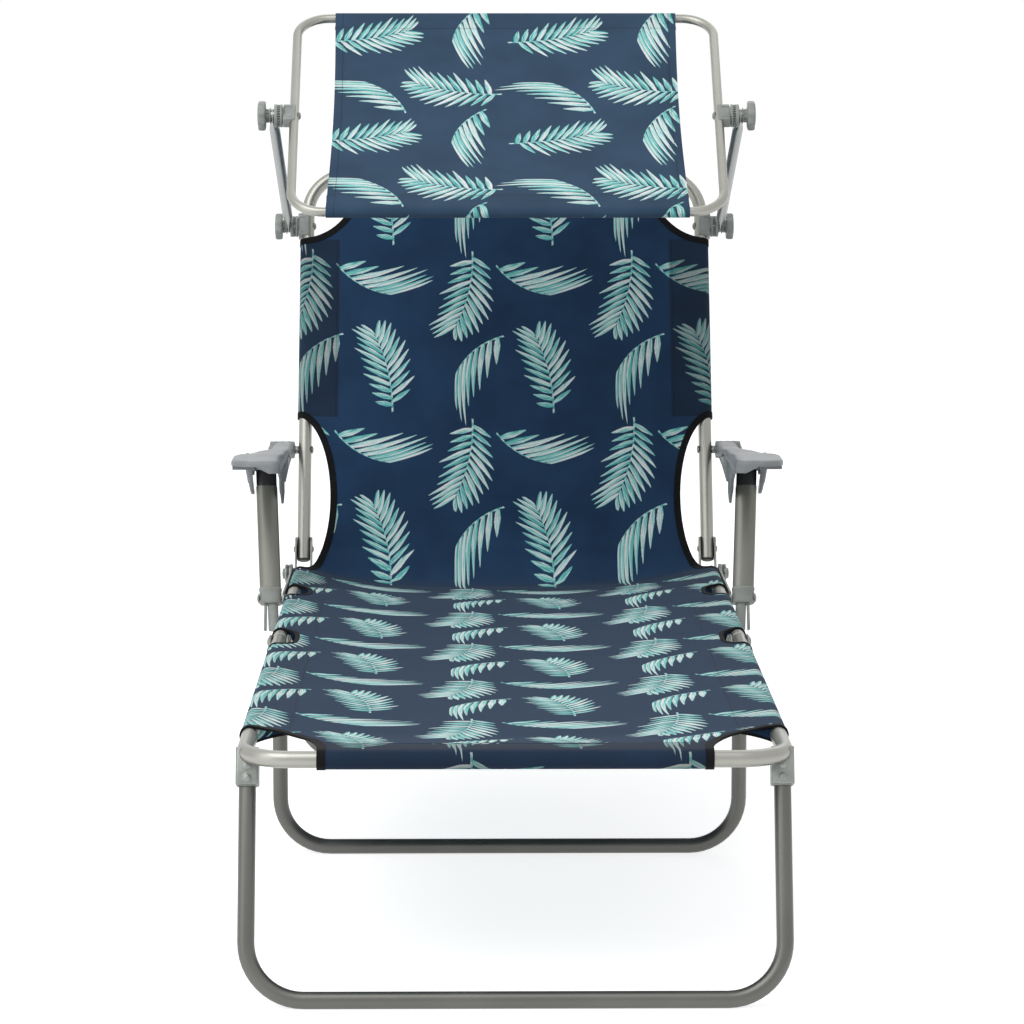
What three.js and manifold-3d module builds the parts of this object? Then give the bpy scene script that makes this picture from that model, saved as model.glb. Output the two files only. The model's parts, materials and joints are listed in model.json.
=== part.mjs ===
// A folding sun lounger on three tube legs, with sling cloth, armrests and an adjustable canopy.
// Millimetres, +Z up. The foot end faces -Y and the head end +Y. Left is -X, right is +X.
// Pieces of the right side are drawn once and mirrored for the left.
import * as THREE from "three";
import { mergeVertices } from "three/addons/utils/BufferGeometryUtils.js";
import Module from "manifold-3d";

const wasm = await Module();
wasm.setup();

// Clearances and drawing values
const gap = 0.3;
const overrun = 2;
const tubeSides = 12;
const pinSides = 10;
const bendSteps = 6;

// Main frame
const tubeRadius = 9;
const frameWidth = 562;
const railHeight = 252;
const footLength = 706;
const seatLength = 569;
const frameBend = 50;

// Legs
const legInset = 3;
const legBend = 60;
const frontLegPlace = 42;
const middleLegSetBack = 51;
const rearLegSetBack = 70;
const frontLegLean = 19;
const bracketWidth = 24;
const bracketDepth = 24;
const bracketLength = 27;
const bracketChamfer = 3;
const bracketRoof = 6;
const bracketRise = 4;
const rivetRadius = 4.5;
const rivetRise = 2.4;
const upperRivetDrop = 7;
const lowerRivetDrop = 20;

// Foot hinge, a channel on the seat rail that holds the end of the foot rail
const pinRadius = 3;
const pinHeadRadius = 5.5;
const pinHeadRise = 2.6;
const channelWall = 2.5;
const channelFront = 24;
const channelRear = 36;
const channelTop = 7;
const stopLength = 10;
const footRailPast = 7;
const railSetBack = 12.2;

// Back frame
const backInset = 3;
const backLength = 592;
const backBend = 60;
const backLean = 25;
const pivotDrop = 3;
const backTubeStart = 20;
const earWall = 2.5;
const earLength = 46;
const earRound = 11;
const earWebStart = 26;
const seatRailEnd = 14;

// Recline joint
const armWall = 3;
const armStandoff = 2.6;
const discRadius = 13;
const discTeeth = 12;
const toothDepth = 1.2;
const seatDiscWall = 3;
const backDiscWall = 4;
const armHalfWidth = 6.5;
const boltRadius = 4;
const boltHeadRadius = 8;
const boltHeadRise = 4;

// Armrest links
const linkageReach = 215;
const strutLength = 179;
const strutWide = 27;
const strutDeep = 17;
const strutFlare = 9;
const strutSides = 16;
const collarLength = 22;
const collarWall = 1.6;
const tailLength = 36;
const tailWideShare = 0.72;
const tailDeepShare = 0.7;
const capLength = 17;
const capPast = 10;
const capSlot = 4;
const capSlotDepth = 5;

// Armrests
const padLength = 380;
const padStandoff = 12;
const padNoseWidth = 67;
const padRearWidth = 33;
const padUnder = 14.5;
const padThick = 16;
const padWall = 3.5;
const padNoseRound = 24;
const padWaist = 150;
const hubRadius = 12;
const hubStandoff = 5.4;
const hubWidth = 34.2;
const cheekWall = 3.5;
const cheekHalf = 20;
const cheekHang = 34;
const cheekNarrowShare = 0.8;
const innerCheekGap = 4.5;
const outerCheekGap = 2.5;

// Canopy
const clampBelowBend = 20;
const canopyLinkLength = 425;
const canopyLinkRise = 23.1;
const canopySlope = 33;
const canopyTube = 6;
const canopyNarrowing = 2;
const canopyTaper = 6;
const canopyFront = 212;
const canopyRear = 230;
const canopyBend = 42;
const jointSleeve = 30;
const spigotRadius = 5.2;
const canopyClothInset = 49.5;
const canopySag = 14;

// Friction joints of the canopy, from the tube outwards
const blockCover = 4.5;
const blockHalf = 17;
const ringWall = 4.6;
const ringRadius = 15;
const ringTeeth = 14;
const linkRingWall = 6.1;
const linkWall = 5;
const linkEye = 9;
const linkWide = 12;
const linkDeep = 14;
const linkNeck = 26;
const knobStandoff = 1;
const neckLength = 5.5;
const knobWall = 10.5;
const knobRadius = 19.5;
const knobLobes = 8;
const knobLobeDepth = 1.8;
const neckRadius = 8;

// Sling cloth
const clothWall = 1.2;
const edgeSegments = 12;
const sleeveInset = 73.5;
const bracketClear = 3;
const clampClear = 6;
const frontCut = 125;
const notchDepth = 23;
const footNotchLip = 3;
const pivotNotchFront = 48;
const pivotNotchRear = 32;
const clothGap = 14;
const backClothGap = 22;
const seatSag = 18;
const backSag = 12;
const sagFade = 130;
const armholeFrom = 5;
const armholePast = 46;
const armholeDepth = 46;
const topCut = 72;
const topCutShare = 0.75;
const clothAcross = 12;

// Places that follow from these sizes
const seatEnd = footLength + seatLength;
const pivotHeight = railHeight - pivotDrop;
const backAngle = 90 - backLean;
const railSide = frameWidth / 2;
const legSide = railSide - legInset;
const backSide = railSide - backInset;
const middleLegPlace = footLength - middleLegSetBack;
const rearLegPlace = seatEnd - rearLegSetBack;
const clampAlong = backLength - backBend - clampBelowBend;
const canopyHalf = backSide - canopyNarrowing / 2;

// Materials
const finishes = {
  frame_steel: { color: 0xc3c5c6, roughness: 0.38, metalness: 0.75 },
  leg_steel: { color: 0x7d7f7c, roughness: 0.42, metalness: 0.7 },
  zinc: { color: 0xc9cbc9, roughness: 0.34, metalness: 0.85 },
  moulded_grey: { color: 0xa2a5a8, roughness: 0.55, metalness: 0 },
  dark_plastic: { color: 0x3c4042, roughness: 0.6, metalness: 0 },
  knob_grey: { color: 0x8b8f8c, roughness: 0.5, metalness: 0.2 },
  cloth_navy: { color: 0x2c3d5c, roughness: 0.9, metalness: 0 },
};
const material = {};
for (const [name, look] of Object.entries(finishes)) {
  material[name] = new THREE.MeshStandardMaterial(look);
}

function radians(degrees) {
  return THREE.MathUtils.degToRad(degrees);
}

// A closed geometry as a solid that can be joined and cut.
function solid(geometry) {
  const bare = geometry.index ? geometry.toNonIndexed() : geometry.clone();
  for (const name of Object.keys(bare.attributes)) {
    if (name !== "position") bare.deleteAttribute(name);
  }
  const merged = mergeVertices(bare, 1e-4);
  const triVerts = new Uint32Array(merged.index.array);
  const vertProperties = merged.attributes.position.array;
  const made = new wasm.Manifold(new wasm.Mesh({ numProp: 3, vertProperties, triVerts }));
  if (made.volume() > 0) return made;
  const turned = triVerts.map((_, i) => triVerts[i - (i % 3) + 2 - (i % 3)]);
  return new wasm.Manifold(new wasm.Mesh({ numProp: 3, vertProperties, triVerts: turned }));
}

// A solid as a geometry with flat-shaded faces.
function geometryOf(made) {
  const mesh = made.getMesh();
  const geometry = new THREE.BufferGeometry();
  geometry.setAttribute("position", new THREE.BufferAttribute(mesh.vertProperties, mesh.numProp));
  geometry.setIndex(new THREE.BufferAttribute(mesh.triVerts, 1));
  const flat = geometry.toNonIndexed();
  flat.computeVertexNormals();
  return flat;
}

function join(...geometries) {
  return geometryOf(geometries.map(solid).reduce((all, next) => all.add(next)));
}

function cut(geometry, ...cutters) {
  return geometryOf(cutters.map(solid).reduce((left, next) => left.subtract(next), solid(geometry)));
}

// A regular section whose flats face along its own two axes.
function roundSection(radius, sides = tubeSides) {
  return ovalSection(radius, radius, sides);
}

function ovalSection(halfWide, halfDeep, sides) {
  const points = [];
  for (let i = 0; i < sides; i += 1) {
    const turn = ((i + 0.5) / sides) * 2 * Math.PI;
    points.push(new THREE.Vector2(halfWide * Math.cos(turn), halfDeep * Math.sin(turn)));
  }
  return new THREE.Shape(points);
}

// A run of straight stretches with round bends, with one ring at each end of a stretch or bend step.
class BentPath extends THREE.Curve {
  constructor(corners, bend) {
    super();
    this.stations = [];
    const last = corners.length - 1;
    corners.forEach((corner, i) => {
      if (i === 0 || i === last) {
        const other = corners[i === 0 ? 1 : last - 1];
        const along = corner.clone().sub(other).normalize();
        this.stations.push({ point: corner, tangent: i === 0 ? along.negate() : along });
        return;
      }
      const before = corner.clone().sub(corners[i - 1]).normalize();
      const after = corners[i + 1].clone().sub(corner).normalize();
      const turn = before.angleTo(after);
      const inset = bend * Math.tan(turn / 2);
      const start = corner.clone().addScaledVector(before, -inset);
      const inward = after.clone().addScaledVector(before, -after.dot(before)).normalize();
      const centre = start.clone().addScaledVector(inward, bend);
      for (let step = 0; step <= bendSteps; step += 1) {
        const angle = (turn * step) / bendSteps;
        const point = centre.clone().addScaledVector(inward, -bend * Math.cos(angle));
        point.addScaledVector(before, bend * Math.sin(angle));
        const tangent = before.clone().multiplyScalar(Math.cos(angle));
        tangent.addScaledVector(inward, Math.sin(angle));
        this.stations.push({ point, tangent });
      }
    });
  }

  get steps() {
    return this.stations.length - 1;
  }

  getPointAt(share) {
    return this.stations[Math.round(share * this.steps)].point.clone();
  }

  getTangentAt(share) {
    return this.stations[Math.round(share * this.steps)].tangent.clone();
  }
}

function tube(corners, bend, section) {
  const path = new BentPath(corners, bend);
  return new THREE.ExtrudeGeometry(section, { steps: path.steps, bevelEnabled: false, extrudePath: path });
}

// A round bar along X at the given Y and Z.
function crossBar(radius, from, to, y = 0, z = 0, sides = pinSides) {
  const ends = [new THREE.Vector3(from, y, z), new THREE.Vector3(to, y, z)];
  return tube(ends, 0, roundSection(radius, sides));
}

// A domed head on an X axis, rising towards +X or, with a negative rise, towards -X.
function domeHead(radius, rise, x, y = 0, z = 0) {
  const steps = 3;
  const profile = [new THREE.Vector2(0, 0)];
  for (let i = 0; i <= steps; i += 1) {
    const turn = (i / steps) * (Math.PI / 2);
    const across = i === steps ? 0 : radius * Math.cos(turn);
    profile.push(new THREE.Vector2(across, Math.abs(rise) * Math.sin(turn)));
  }
  const head = new THREE.LatheGeometry(profile, pinSides);
  head.rotateZ(rise > 0 ? -Math.PI / 2 : Math.PI / 2);
  return head.translate(x, y, z);
}

// A plate drawn in Y and Z, with its thickness along X from the given place.
function sidePlate(shape, from, thickness, curveSegments = 6) {
  const plate = new THREE.ExtrudeGeometry(shape, { depth: thickness, bevelEnabled: false, curveSegments });
  const turned = new THREE.Matrix4().makeBasis(
    new THREE.Vector3(0, 1, 0),
    new THREE.Vector3(0, 0, 1),
    new THREE.Vector3(1, 0, 0),
  );
  return plate.applyMatrix4(turned).translate(from, 0, 0);
}

// A plate drawn in X and Y, with its thickness along Z from the given height.
function floorPlate(shape, from, thickness, curveSegments = 6) {
  const plate = new THREE.ExtrudeGeometry(shape, { depth: thickness, bevelEnabled: false, curveSegments });
  return plate.translate(0, 0, from);
}

function block(x0, x1, y0, y1, z0, z1) {
  const box = new THREE.BoxGeometry(x1 - x0, y1 - y0, z1 - z0);
  return box.translate((x0 + x1) / 2, (y0 + y1) / 2, (z0 + z1) / 2);
}

// The outline of a link with a round end about each of two points on the Y axis.
function linkOutline(from, to, startRound, endRound) {
  const shape = new THREE.Shape();
  shape.absarc(from, 0, startRound, Math.PI / 2, (3 * Math.PI) / 2, false);
  shape.absarc(to, 0, endRound, -Math.PI / 2, Math.PI / 2, false);
  shape.closePath();
  return shape;
}

// A disc with radial teeth on one face, from X = 0 towards +X, or towards -X when it is turned.
function toothedDisc(radius, teeth, wall, bore, turned = false) {
  const halfTooth = Math.PI / teeth / 2;
  const root = radius / 2;
  const parts = [crossBar(radius, 0, wall - toothDepth, 0, 0, teeth)];
  for (let i = 0; i < teeth; i += 1) {
    const turn = (2 * Math.PI * i) / teeth;
    const outline = [
      [root, turn - halfTooth],
      [radius - gap, turn - halfTooth],
      [radius - gap, turn + halfTooth],
      [root, turn + halfTooth],
    ].map(([reach, angle]) => new THREE.Vector2(reach * Math.cos(angle), reach * Math.sin(angle)));
    parts.push(sidePlate(new THREE.Shape(outline), gap, wall - gap));
  }
  const disc = cut(join(...parts), crossBar(bore, -overrun, wall + overrun));
  return turned ? disc.rotateY(Math.PI) : disc;
}

const lounger = new THREE.Group();

// A frame of reference at a place, tilted about X so that its own Y runs along a section.
function frameGroup(parent, y, z, tilt = 0) {
  const group = new THREE.Group();
  group.position.set(0, y, z);
  group.rotation.x = radians(tilt);
  parent.add(group);
  return group;
}

function add(parent, name, geometry, finish) {
  const mesh = new THREE.Mesh(geometry, material[finish]);
  mesh.name = name;
  parent.add(mesh);
  return mesh;
}

// Adds a right-hand piece and its mirror image on the left.
function addPair(parent, name, geometry, finish) {
  add(parent, `${name}_right`, geometry, finish);
  add(parent, `${name}_left`, geometry, finish).scale.x = -1;
}

function point(x, y, z) {
  return new THREE.Vector3(x, y, z);
}

const seat = frameGroup(lounger, 0, railHeight);
const back = frameGroup(lounger, seatEnd, pivotHeight, backAngle);

// Foot section: one tube round three sides
function footTube(radius) {
  const end = footLength + footRailPast;
  const corners = [
    point(-railSide, end, 0),
    point(-railSide, 0, 0),
    point(railSide, 0, 0),
    point(railSide, end, 0),
  ];
  return tube(corners, frameBend, roundSection(radius));
}

function addFootFrame() {
  const reach = railSide + tubeRadius + overrun;
  const bore = crossBar(pinRadius + gap, -reach, reach, footLength);
  add(seat, "foot_frame", cut(footTube(tubeRadius), bore), "frame_steel");
}

// Seat section: a straight rail on each side
function seatRail(radius) {
  const front = point(railSide, footLength + railSetBack, 0);
  const rear = point(railSide, seatEnd - seatRailEnd, 0);
  return tube([front, rear], 0, roundSection(radius));
}

function addSeatRails() {
  const reach = tubeRadius + overrun;
  const place = seatEnd - linkageReach;
  const bore = crossBar(pinRadius + gap, railSide - reach, railSide + reach, place, -pivotDrop);
  addPair(seat, "seat_rail", cut(seatRail(tubeRadius), bore), "frame_steel");
}

// Legs: a U of tube, pushed into a bracket under each rail

// How far a tube's section reaches below its centre when the tube is tilted.
function sectionReach(radius, tilt) {
  const step = 360 / tubeSides;
  return radius * Math.cos(radians((tilt % step) - step / 2));
}

function legTube(drop) {
  const side = legSide;
  const top = -(tubeRadius + bracketRoof + gap);
  const corners = [point(-side, 0, top), point(-side, 0, -drop), point(side, 0, -drop), point(side, 0, top)];
  return tube(corners, legBend, roundSection(tubeRadius));
}

// A moulded steel socket: saddled under the rail, bored for the leg, riveted on its front face.
function legBracket(railCut) {
  const wide = bracketWidth / 2;
  const deep = bracketDepth / 2;
  const inset = bracketChamfer;
  const outline = new THREE.Shape([
    new THREE.Vector2(wide - inset, -deep),
    new THREE.Vector2(wide, -deep + inset),
    new THREE.Vector2(wide, deep - inset),
    new THREE.Vector2(wide - inset, deep),
    new THREE.Vector2(-wide + inset, deep),
    new THREE.Vector2(-wide, deep - inset),
    new THREE.Vector2(-wide, -deep + inset),
    new THREE.Vector2(-wide + inset, -deep),
  ]);
  const side = legSide;
  const bottom = -(tubeRadius + bracketLength);
  const roof = -(tubeRadius + bracketRoof);
  const height = bracketRise - tubeRadius - bottom;
  const body = floorPlate(outline, bottom, height).translate(side, 0, 0);
  const socket = floorPlate(roundSection(tubeRadius + gap), bottom - overrun, roof - bottom + overrun);
  const rivets = [upperRivetDrop, lowerRivetDrop].map((drop) => {
    const head = domeHead(rivetRadius, rivetRise + gap, 0).rotateZ(-Math.PI / 2);
    return head.translate(side, gap - deep, -tubeRadius - drop);
  });
  return cut(join(body, ...rivets), railCut, socket.translate(side, 0, 0));
}

function addLeg(name, place, lean, rail) {
  const hanger = frameGroup(seat, place, 0, -lean);
  const drop = (railHeight - sectionReach(tubeRadius, lean)) / Math.cos(radians(lean));
  const railCut = rail.clone().translate(0, -place, 0).rotateX(radians(lean));
  add(hanger, `${name}_leg`, legTube(drop), "leg_steel");
  addPair(hanger, `${name}_leg_bracket`, legBracket(railCut), "zinc");
}

// Foot hinge: a channel riveted to the seat rail, open at the top, with a stop under the foot rail
function hingeChannel() {
  const inner = tubeRadius + gap;
  const outer = inner + channelWall;
  const nose = channelFront / 2;
  const ear = new THREE.Shape();
  ear.moveTo(-channelFront, -outer);
  ear.lineTo(channelRear, -outer);
  ear.lineTo(channelRear, 0);
  ear.quadraticCurveTo(nose, channelTop, nose / 2, channelTop);
  ear.lineTo(-nose / 2, channelTop);
  ear.quadraticCurveTo(-channelFront, channelTop, -channelFront, -inner + channelWall);
  ear.closePath();
  const ears = [sidePlate(ear, inner, channelWall), sidePlate(ear, -outer, channelWall)];
  const stop = block(-outer, outer, -channelFront, stopLength - channelFront, -outer, -inner);
  const cradle = block(-outer, outer, railSetBack, channelRear, -outer, -inner);
  const rivetPlace = (railSetBack + channelRear) / 2;
  const heads = [
    domeHead(rivetRadius, rivetRise + gap, outer - gap, rivetPlace),
    domeHead(rivetRadius, -rivetRise - gap, gap - outer, rivetPlace),
  ];
  const bore = crossBar(pinRadius + gap, -outer - overrun, outer + overrun);
  return cut(join(...ears, stop, cradle, ...heads), bore).translate(railSide, 0, 0);
}

// A pin with a domed head at each end and any collars between.
function headedPin(radius, from, to, headRadius, headRise, collars = []) {
  const parts = [crossBar(radius, from - gap, to + gap)];
  parts.push(domeHead(headRadius, headRise, to), domeHead(headRadius, -headRise, from));
  for (const [start, end, collarRadius] of collars) parts.push(crossBar(collarRadius, start, end));
  return join(...parts);
}

function addFootHinge() {
  const hinge = frameGroup(seat, footLength, 0);
  const half = tubeRadius + gap + channelWall + gap;
  addPair(hinge, "foot_hinge_channel", hingeChannel(), "zinc");
  const pin = headedPin(pinRadius, railSide - half, railSide + half, pinHeadRadius, pinHeadRise);
  addPair(hinge, "foot_hinge_pin", pin, "zinc");
}

// Recline joint: a toothed disc at the end of an arm on the seat, against one that turns with the back
const armInner = railSide + tubeRadius + armStandoff;
const armOuter = armInner + armWall;
const seatDiscFace = armOuter + seatDiscWall;
const backDiscInner = seatDiscFace + gap;
const backDiscOuter = backDiscInner + backDiscWall;
const earInner = tubeRadius + gap;
const earOuter = earInner + earWall;
const strutFootPlace = armOuter + gap + collarWall + strutWide / 2;
const strutHeadPlace = strutFootPlace + strutFlare;

function reclineArm() {
  const bar = sidePlate(linkOutline(-linkageReach, 0, armHalfWidth, armHalfWidth), armInner, armWall);
  const eye = crossBar(armHalfWidth + overrun, armInner, armOuter, -linkageReach);
  const plate = cut(
    join(bar, eye, crossBar(discRadius, armInner, armOuter, 0, 0, discTeeth)),
    crossBar(pinRadius + gap, armInner - overrun, armOuter + overrun, -linkageReach),
    crossBar(boltRadius + gap, armInner - overrun, armOuter + overrun),
  );
  const disc = toothedDisc(discRadius, discTeeth, seatDiscWall + gap, boltRadius + gap);
  return join(plate, disc.translate(armOuter - gap, 0, 0));
}

function backEndBracket() {
  const ear = linkOutline(0, earLength, earOuter, earOuter);
  const ears = [sidePlate(ear, earInner, earWall), sidePlate(ear, -earOuter, earWall)];
  const web = block(-earOuter, earOuter, earWebStart, earLength, -earOuter, -earInner);
  const rivetPlace = earLength - earRound;
  const heads = [
    domeHead(rivetRadius, rivetRise + gap, earOuter - gap, rivetPlace),
    domeHead(rivetRadius, -rivetRise - gap, gap - earOuter, rivetPlace),
  ];
  const bore = crossBar(boltRadius + gap, -earOuter - overrun, earOuter + overrun);
  return cut(join(...ears, web, ...heads), bore).translate(backSide, 0, 0);
}

function addReclineJoint() {
  const seatPivot = frameGroup(seat, seatEnd, -pivotDrop);
  addPair(seatPivot, "recline_arm", reclineArm(), "zinc");
  addPair(back, "back_end_bracket", backEndBracket(), "zinc");
  const disc = toothedDisc(discRadius, discTeeth, backDiscWall, boltRadius + gap, true);
  addPair(back, "recline_disc", disc.translate(backDiscOuter, 0, 0), "zinc");
  const washer = [backSide + earOuter + gap, armInner - gap, boltHeadRadius];
  const bolt = headedPin(
    boltRadius,
    backSide - earOuter - gap,
    backDiscOuter + gap,
    boltHeadRadius,
    boltHeadRise,
    [washer],
  );
  addPair(back, "back_pivot_bolt", bolt, "zinc");
}

// Back frame: one tube round three sides, bored for the armrest pins and the canopy clamps
function backTube(radius) {
  const corners = [
    point(-backSide, backTubeStart, 0),
    point(-backSide, backLength, 0),
    point(backSide, backLength, 0),
    point(backSide, backTubeStart, 0),
  ];
  return tube(corners, backBend, roundSection(radius));
}

function addBackFrame() {
  const reach = backSide + tubeRadius + overrun;
  const bores = [strutLength, clampAlong].map((place) => crossBar(pinRadius + gap, -reach, reach, place));
  add(back, "back_frame", cut(backTube(tubeRadius), ...bores), "frame_steel");
}

// Armrest linkage: a strut on each side, level with the back frame at every angle

const strut = frameGroup(lounger, seatEnd - linkageReach, pivotHeight, backAngle);

// A length of oval bar along the strut, which leans outwards on its way up.
function strutBar(from, to, halfWide, halfDeep) {
  const lean = (strutHeadPlace - strutFootPlace) / strutLength;
  const ends = [from, to].map((place) => point(strutFootPlace + lean * place, place, 0));
  return tube(ends, 0, ovalSection(halfDeep, halfWide, strutSides));
}

function addStruts() {
  const halfWide = strutWide / 2;
  const halfDeep = strutDeep / 2;
  const collarTop = collarLength / 2 + pinRadius;
  const collarBottom = collarTop - collarLength;
  const seatPlace = 2 * pinRadius;
  const capStart = strutLength + capPast - capLength;
  const pinBore = (place) => {
    const reach = strutWide;
    return crossBar(pinRadius + gap, strutFootPlace - reach, strutHeadPlace + reach, place);
  };
  const bar = strutBar(seatPlace + gap, capStart - gap, halfWide, halfDeep);
  addPair(strut, "strut", bar, "leg_steel");

  const collar = strutBar(collarBottom, collarTop, halfWide + collarWall, halfDeep + collarWall);
  const socket = strutBar(seatPlace, collarTop + overrun, halfWide + gap, halfDeep + gap);
  const tail = strutBar(
    collarBottom - tailLength,
    collarBottom + gap,
    halfWide * tailWideShare,
    halfDeep * tailDeepShare,
  );
  const foot = cut(join(collar, tail), socket, pinBore(0));
  addPair(strut, "strut_foot", foot, "knob_grey");

  const capBar = strutBar(capStart, strutLength + capPast, halfWide, halfDeep);
  const capMiddle = strutHeadPlace;
  const slot = block(
    capMiddle - halfDeep,
    capMiddle + halfDeep,
    strutLength + capPast - capSlotDepth,
    strutLength + capPast + overrun,
    -capSlot / 2,
    capSlot / 2,
  );
  addPair(strut, "strut_cap", cut(capBar, slot, pinBore(strutLength)), "dark_plastic");

  const footOuter = strutFootPlace + halfWide + collarWall;
  const footPin = headedPin(
    pinRadius,
    railSide - tubeRadius - gap,
    footOuter + gap,
    pinHeadRadius,
    pinHeadRise,
    [
      [railSide + tubeRadius, armInner - gap, pinHeadRadius],
    ],
  );
  const strutPivot = frameGroup(seat, seatEnd - linkageReach, -pivotDrop);
  addPair(strutPivot, "strut_pivot_pin", footPin, "zinc");
  const headPin = headedPin(
    pinRadius,
    cheekInner - gap,
    cheekOuter + cheekWall + gap,
    pinHeadRadius,
    pinHeadRise - gap,
  );
  addPair(strut, "strut_head_pin", headPin.translate(0, strutLength, 0), "zinc");
}

// Armrests: a moulded shell, open underneath, with a hub at the back and two cheeks for the strut
const armrestPlace = seatEnd + strutLength * Math.sin(radians(backLean));
const armrestHeight = pivotHeight + strutLength * Math.cos(radians(backLean));
const armrest = frameGroup(lounger, armrestPlace, armrestHeight);
const padInner = railSide + padStandoff;
const padNoseOuter = padInner + padNoseWidth;
const padRearOuter = padInner + padRearWidth;
const hubInner = backSide + tubeRadius + hubStandoff;
const hubOuter = hubInner + hubWidth;
const cheekInner = strutHeadPlace - strutWide / 2 - innerCheekGap - cheekWall;
const cheekOuter = strutHeadPlace + strutWide / 2 + outerCheekGap;

// The pad's outline from above, drawn in by a wall, and ending at the given place behind the hub.
function padPlan(inset, rear) {
  const round = padNoseRound;
  const inner = padInner + inset;
  const noseOuter = padNoseOuter - inset;
  const rearOuter = padRearOuter - inset;
  const nose = -padLength + inset;
  const plan = new THREE.Shape();
  plan.moveTo(inner, rear);
  plan.lineTo(inner, nose + round / 2);
  plan.quadraticCurveTo(inner, nose, inner + round, nose);
  plan.lineTo(noseOuter - round, nose);
  plan.quadraticCurveTo(noseOuter, nose, noseOuter, nose + round);
  plan.lineTo(noseOuter, nose + padWaist / 2);
  plan.bezierCurveTo(noseOuter, -padWaist, rearOuter, -padWaist, rearOuter, rear);
  plan.closePath();
  return plan;
}

// The pad from the side: level over the struts, falling to the hub, with a rounded nose.
function padSide(drop) {
  const under = padUnder - drop;
  const top = padUnder + padThick - drop;
  const middle = (under + top) / 2;
  const nose = -padLength;
  const side = new THREE.Shape();
  side.moveTo(hubRadius / 2, -hubRadius / 2 - drop);
  side.bezierCurveTo(-padWaist / 3, -hubRadius / 2 - drop, -padWaist / 2, under, -padWaist, under);
  side.lineTo(nose + padThick, under);
  side.quadraticCurveTo(nose, under, nose, middle);
  side.quadraticCurveTo(nose, top, nose + padThick + padNoseRound, top);
  side.lineTo(-padWaist, top);
  side.bezierCurveTo(-padWaist / 2, top, -padWaist / 3, hubRadius - drop, hubRadius / 2, hubRadius - drop);
  side.closePath();
  return side;
}

function padForm(inset, rear, drop) {
  const reach = padNoseOuter;
  const plan = floorPlate(padPlan(inset, rear), -reach / 2, reach, 5);
  const side = sidePlate(padSide(drop), padInner - overrun, padNoseOuter - padInner + 2 * overrun, 5);
  return solid(plan).intersect(solid(side));
}

function cheek(from) {
  const centre = -linkageReach;
  const shape = new THREE.Shape();
  const narrow = cheekHalf * cheekNarrowShare;
  const bend = -cheekHang + narrow;
  const top = padUnder + padThick - padWall;
  shape.moveTo(centre - cheekHalf, top);
  shape.lineTo(centre - narrow, bend);
  shape.quadraticCurveTo(centre - narrow, -cheekHang, centre, -cheekHang);
  shape.quadraticCurveTo(centre + narrow, -cheekHang, centre + narrow, bend);
  shape.lineTo(centre + cheekHalf, top);
  shape.closePath();
  return sidePlate(shape, from, cheekWall, 4);
}

function armrestShell() {
  const outer = padForm(0, hubRadius / 2, 0);
  const pocket = padForm(padWall, -2 * hubRadius, padWall);
  const hub = crossBar(hubRadius, hubInner, hubOuter, 0, 0, strutSides);
  const cheeks = solid(cheek(cheekInner)).add(solid(cheek(cheekOuter)));
  const whole = outer.subtract(pocket).add(solid(hub)).add(cheeks);
  const reach = padNoseOuter;
  const rearBore = crossBar(pinRadius + gap, padInner - overrun, reach);
  const frontBore = crossBar(pinRadius + 3 * gap, padInner - overrun, reach, -linkageReach);
  return geometryOf(whole.subtract(solid(rearBore)).subtract(solid(frontBore)));
}

function addArmrests() {
  addPair(armrest, "armrest", armrestShell(), "moulded_grey");
  const spacer = [backSide + tubeRadius, hubInner - gap, pinHeadRadius];
  const pin = headedPin(
    pinRadius,
    backSide - tubeRadius - gap,
    hubOuter + gap,
    pinHeadRadius,
    pinHeadRise,
    [spacer],
  );
  addPair(back, "armrest_pin", pin.translate(0, strutLength, 0), "zinc");
}

// Canopy: two links from the back frame to a framed panel, with a toothed friction joint at each end
const linkAngle = 180 - canopyLinkRise;
const clampPlace = seatEnd + clampAlong * Math.sin(radians(backLean));
const clampHeight = pivotHeight + clampAlong * Math.cos(radians(backLean));
const link = frameGroup(lounger, clampPlace, clampHeight, linkAngle);
const canopyPlace = clampPlace - canopyLinkLength * Math.cos(radians(canopyLinkRise));
const canopyHeight = clampHeight + canopyLinkLength * Math.sin(radians(canopyLinkRise));
const canopy = frameGroup(lounger, canopyPlace, canopyHeight, canopySlope);

function canopySide(along) {
  return canopyHalf + (canopyTaper * along) / (canopyFront + canopyRear);
}

function canopyTubePath(radius) {
  const start = gap;
  const front = canopySide(-canopyFront);
  const rear = canopySide(canopyRear);
  const corners = [
    point(start, canopyRear, 0),
    point(rear, canopyRear, 0),
    point(front, -canopyFront, 0),
    point(-front, -canopyFront, 0),
    point(-rear, canopyRear, 0),
    point(-start, canopyRear, 0),
  ];
  return tube(corners, canopyBend, roundSection(radius, pinSides));
}

function addCanopyFrame() {
  const reach = canopyHalf + canopyTube + overrun;
  const spigot = crossBar(spigotRadius, -jointSleeve / 2, jointSleeve / 2, canopyRear);
  const bore = crossBar(pinRadius + gap, -reach, reach);
  const frame = cut(join(canopyTubePath(canopyTube), spigot), bore);
  add(canopy, "canopy_frame", frame, "frame_steel");
}

const blockFace = backSide + tubeRadius + blockCover;
const linkInner = blockFace + ringWall + gap + linkRingWall;
const knobNeck = linkInner + linkWall + knobStandoff;
const knobInner = knobNeck + neckLength;

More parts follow.
